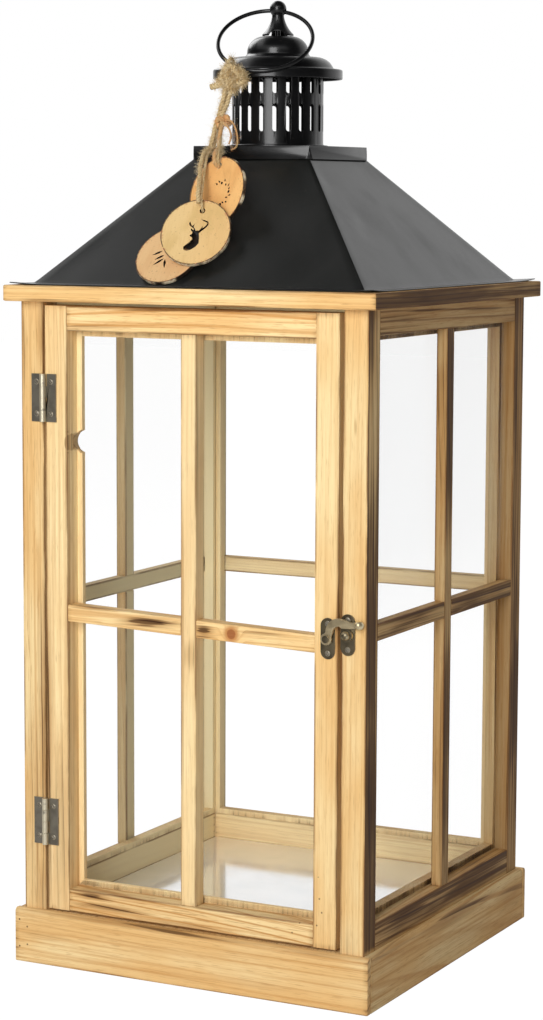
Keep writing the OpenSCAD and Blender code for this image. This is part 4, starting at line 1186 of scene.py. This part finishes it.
class LANTERN_OT_spin_vent(bpy.types.Operator):
    """Spins the vent's cap with its rolled rim, and finishes the collar, tube, finial and ring"""

    bl_idname = "lantern.spin_vent"
    bl_label = "Spin the vent"

    def execute(self, context):
        gloss = black_paint("vent_paint", context.scene.lantern_metal.vent, 0.3, 0.4, 0.00008)
        crown, rim, dome = 706.4, 673.8, 706.4 - 12.6
        section = [
            (2.3, crown), *arc(11, dome, 12.6, 90, 0, 12), *arc(26.6, dome, 3, 180, 270, 6),
            *arc(30.5, rim + 3.8, 13, 90, 25, 10), *arc(45, rim + 10.56, 3, 205, 270, 6),
            *arc(48.1, rim + 6.06, 1.5, 90, 0, 6), (49.6, rim + 2), *arc(48.8, rim + 0.9, 0.8, 20, -200, 8),
            (48.6, rim + 6), (45, rim + 6.5), (41.4, rim + 8.4), (30.5, rim + 15.8), (26.6, crown - 16.6),
            (22.6, dome), (11, crown - 1), (2.3, crown - 1)]
        cap = lathe(section, (-3, 0))
        smooth(cap, 40)
        settle(cap, "vent_cap_shell", gloss, "vent_cap", "vent_paint", ["vent_cap"])
        for node in ("roof_collar", "vent_tube", "finial", "finial_nut", "hanging_ring"):
            rubbed = (0.0003, 2, 40) if node in ("roof_collar", "finial") else None
            dress(node, "_part", gloss, "vent_paint", rubbed, 40)
        return {"FINISHED"}


# ---------- hardware ----------


def old_metal(name, colour, dark, rough, edge, pin=None):
    """Aged plated metal with painted highlights on its turned edges, and a painted highlight round an upright pin
    where one is given.
    """
    finish = Finish(name)
    blotch = finish.grain(finish.point, (130, 130, 130), 3.0)
    scratch = finish.grain(finish.point, (2600, 260, 700))
    shade = finish.layers(tuple(colour), (blotch, 0.4, 0.7, 0.5, dark),
                          (scratch, 0.6, 0.82, 0.25, tuple(min(1, c * 1.7) for c in colour)))
    # painted highlight: the faces turned away from the front take the bright edge tone
    turned = abs(finish.parts(finish.facing())[1]).fall(0.72, 0.98)
    shade = finish.mix(turned * blotch.rise(0.25, 0.5), shade, edge)
    # painted highlight: a bright band round the pin's axis, where the lamp glints on the knuckles
    if pin:
        away = finish.length(finish.vector("MULTIPLY", finish.off(mm(*pin, 0)), (1, 1, 0)))
        shade = finish.mix(away.fall(0.0022, 0.003) * blotch.rise(0.24, 0.42), shade, tone(216, 206, 180))
    return finish.coat(Base_Color=shade, Metallic=0.85, Roughness=rough + blotch * 0.14,
                       Normal=finish.bump(blotch + scratch * 0.3, 0.00006, 0.5))


class LANTERN_OT_fit_hinges(bpy.types.Operator):
    """Fits the butt hinges and their screws"""

    bl_idname = "lantern.fit_hinges"
    bl_label = "Fit the hinges"

    def execute(self, context):
        # the edge tone and the band round the pin are painted highlights
        metal = old_metal("hinge_bronze", context.scene.lantern_metal.bronze, tone(82, 76, 66), 0.34,
                          tone(176, 166, 146), (-124.1, -146.7))
        for node in ("hinge_post_leaves", "hinge_door_leaves", "hinge_pins", "post_screws", "door_screws"):
            dress(node, "_part", metal, "bronze", (0.00015, 1, 50), 30)
        return {"FINISHED"}


class LANTERN_OT_fit_latch(bpy.types.Operator):
    """Fits the latch: the door's plate and hook, and the post's catch"""

    bl_idname = "lantern.fit_latch"
    bl_label = "Fit the latch"

    def execute(self, context):
        brass = context.scene.lantern_metal.brass
        # one brass in two copies: darker on the plates, partly painted shade round the hook, and lighter on the hook,
        # partly a painted highlight; their edge tones are painted highlights too
        plate = old_metal("latch_plate_brass", tuple(c * 0.36 for c in brass), tone(36, 29, 22), 0.26,
                          tone(186, 172, 142))
        hook = old_metal("latch_brass", tuple(c * 1.4 for c in brass), tone(112, 96, 70), 0.3,
                         tone(232, 218, 180))
        for node, metal, radius in (("latch_plate", plate, 0.0005), ("latch_hook", hook, 0.0009),
                                    ("catch_plate", plate, 0.0005)):
            dress(node, "_part", metal, "antique_brass", (radius, 3, 40), 40)
        return {"FINISHED"}


# ---------- stage ----------


CAMERA_AT = (0.940459, -1.824807, 0.588453)
CAMERA_RIGHT = Vector((0.887285, 0.461205, 0.003807))
CAMERA_UP = Vector((-0.058225, 0.103821, 0.99289))
LANTERN_MIDDLE = Vector((0, 0, 0.4))


def lamp(name, power, size, at):
    """A soft lamp that looks at the lantern's middle."""
    data = bpy.data.lights.new(name, "AREA")
    data.energy, data.shape, data.size, data.size_y = power, "RECTANGLE", size[0], size[1]
    made = place(name, data)
    made.location = at
    made.rotation_euler = (LANTERN_MIDDLE - Vector(at)).to_track_quat("-Z", "Y").to_euler()


def seen_rays(finish, seen, gloss):
    """The light's path, and how white a ray finds what it meets: straight, through glass, or in gloss."""
    path = finish.node("LightPath")
    straight = path.most(path.outlet("Is Transmission Ray")) * seen
    return path, straight.most(path.outlet("Is Glossy Ray") * gloss)


class LANTERN_OT_place_camera(bpy.types.Operator):
    """Places the camera at eye height, to the right of the door"""

    bl_idname = "lantern.place_camera"
    bl_label = "Place the camera"

    def execute(self, context):
        data = bpy.data.cameras.new("camera")
        data.lens, data.sensor_width = context.scene.lantern_studio.lens, 36
        data.clip_start, data.clip_end = 0.05, 50
        camera = place("camera", data)
        turn = Matrix((CAMERA_RIGHT, CAMERA_UP, CAMERA_RIGHT.cross(CAMERA_UP))).transposed().to_4x4()
        camera.matrix_world = Matrix.Translation(CAMERA_AT) @ turn
        context.scene.camera = camera
        return {"FINISHED"}


class LANTERN_OT_light_stage(bpy.types.Operator):
    """Lays the pale floor and lights it softly, with a white surround"""

    bl_idname = "lantern.light_stage"
    bl_label = "Light the stage"

    def execute(self, context):
        opt, scene = context.scene.lantern_studio, context.scene
        bpy.ops.object.select_all(action="DESELECT")
        bpy.ops.mesh.primitive_plane_add(size=14, location=(0, 0, -0.0005))
        floor = context.object
        floor.name = "floor"
        finish = Finish("studio_floor")
        _, seen = seen_rays(finish, 0.9, 0.3)
        matt = finish.node("BsdfDiffuse", None, {"Color": (0.86, 0.86, 0.86, 1)})
        white = finish.node("Emission", None, {"Color": (1, 1, 1, 1), "Strength": 1.1})
        both = finish.node("MixShader", None, [seen, matt, white])
        finish.node("OutputMaterial", None, {"Surface": both})
        floor.data.materials.append(finish.material)
        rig.stage(floor)
        world = bpy.data.worlds.new("studio")
        world.use_nodes = True
        sky = Finish("studio", world.node_tree)
        side, back, high = sky.parts(sky.node("TexCoord", out="Generated"))
        # what gloss shows: a white sheet behind, a pale wall high on the left, a window in front, a dim room
        sheet = back.rise(0.3, 0.8) * high.fall(0.5, 0.95)
        wall = (0 - side).rise(0.44, 0.62) * high.rise(0.3, 0.8)
        window = (0 - back).rise(0.2, 0.5) * high.rise(0.25, 0.4) * high.fall(0.6, 0.8)
        path, seen = seen_rays(sky, 1.0, sheet.most(wall * 1.7 + 0.04).most(window * 0.7))
        strength = seen.most((1 - path.outlet("Is Glossy Ray")) * opt.room)
        light = sky.node("Background", None, {"Color": (1, 1, 1, 1), "Strength": strength})
        sky.node("OutputWorld", None, {"Surface": light})
        scene.world = world
        lamp("key_lamp", opt.key, (1.3, 2.0), (0.42, -2.75, 1.3))
        lamp("side_lamp", opt.side, (1.6, 1.6), (-2.3, 1.2, 2.1))
        scene.view_settings.view_transform = "Standard"
        return {"FINISHED"}


# ---------- panel ----------


STEPS = (LANTERN_OT_place_camera, LANTERN_OT_hang_twine, LANTERN_OT_cut_tags, LANTERN_OT_join_plinth,
         LANTERN_OT_set_posts, LANTERN_OT_fill_panels, LANTERN_OT_lay_top, LANTERN_OT_frame_door,
         LANTERN_OT_glaze, LANTERN_OT_fold_roof, LANTERN_OT_spin_vent, LANTERN_OT_fit_hinges,
         LANTERN_OT_fit_latch, LANTERN_OT_light_stage)


class LANTERN_PT_maker(bpy.types.Panel):
    """Lists the steps in which the lantern is dressed"""

    bl_label = "Hanging Lantern"
    bl_idname = "LANTERN_PT_maker"
    bl_space_type = "VIEW_3D"
    bl_region_type = "UI"
    bl_category = "Lantern"

    def draw(self, context):
        for group in GROUPS:
            box = self.layout.box()
            settings = getattr(context.scene, group)
            for key in settings.__annotations__:
                box.prop(settings, key)
        for step in STEPS:
            self.layout.operator(step.bl_idname)


CLASSES = (*GROUPS.values(), *STEPS, LANTERN_PT_maker)


def register():
    for made in CLASSES:
        bpy.utils.register_class(made)
    for name, group in GROUPS.items():
        setattr(bpy.types.Scene, name, bpy.props.PointerProperty(type=group))


def unregister():
    for name in GROUPS:
        delattr(bpy.types.Scene, name)
    for made in reversed(CLASSES):
        bpy.utils.unregister_class(made)


def main():
    register()
    for step in STEPS:
        family, name = step.bl_idname.split(".")
        getattr(getattr(bpy.ops, family), name)()
    with open("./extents.json", "w") as out:
        json.dump({"cad": [list(c) for c in CAD_BOX], "visual": [list(c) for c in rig.bounds()]}, out)


if __name__ == "__main__":
    main()
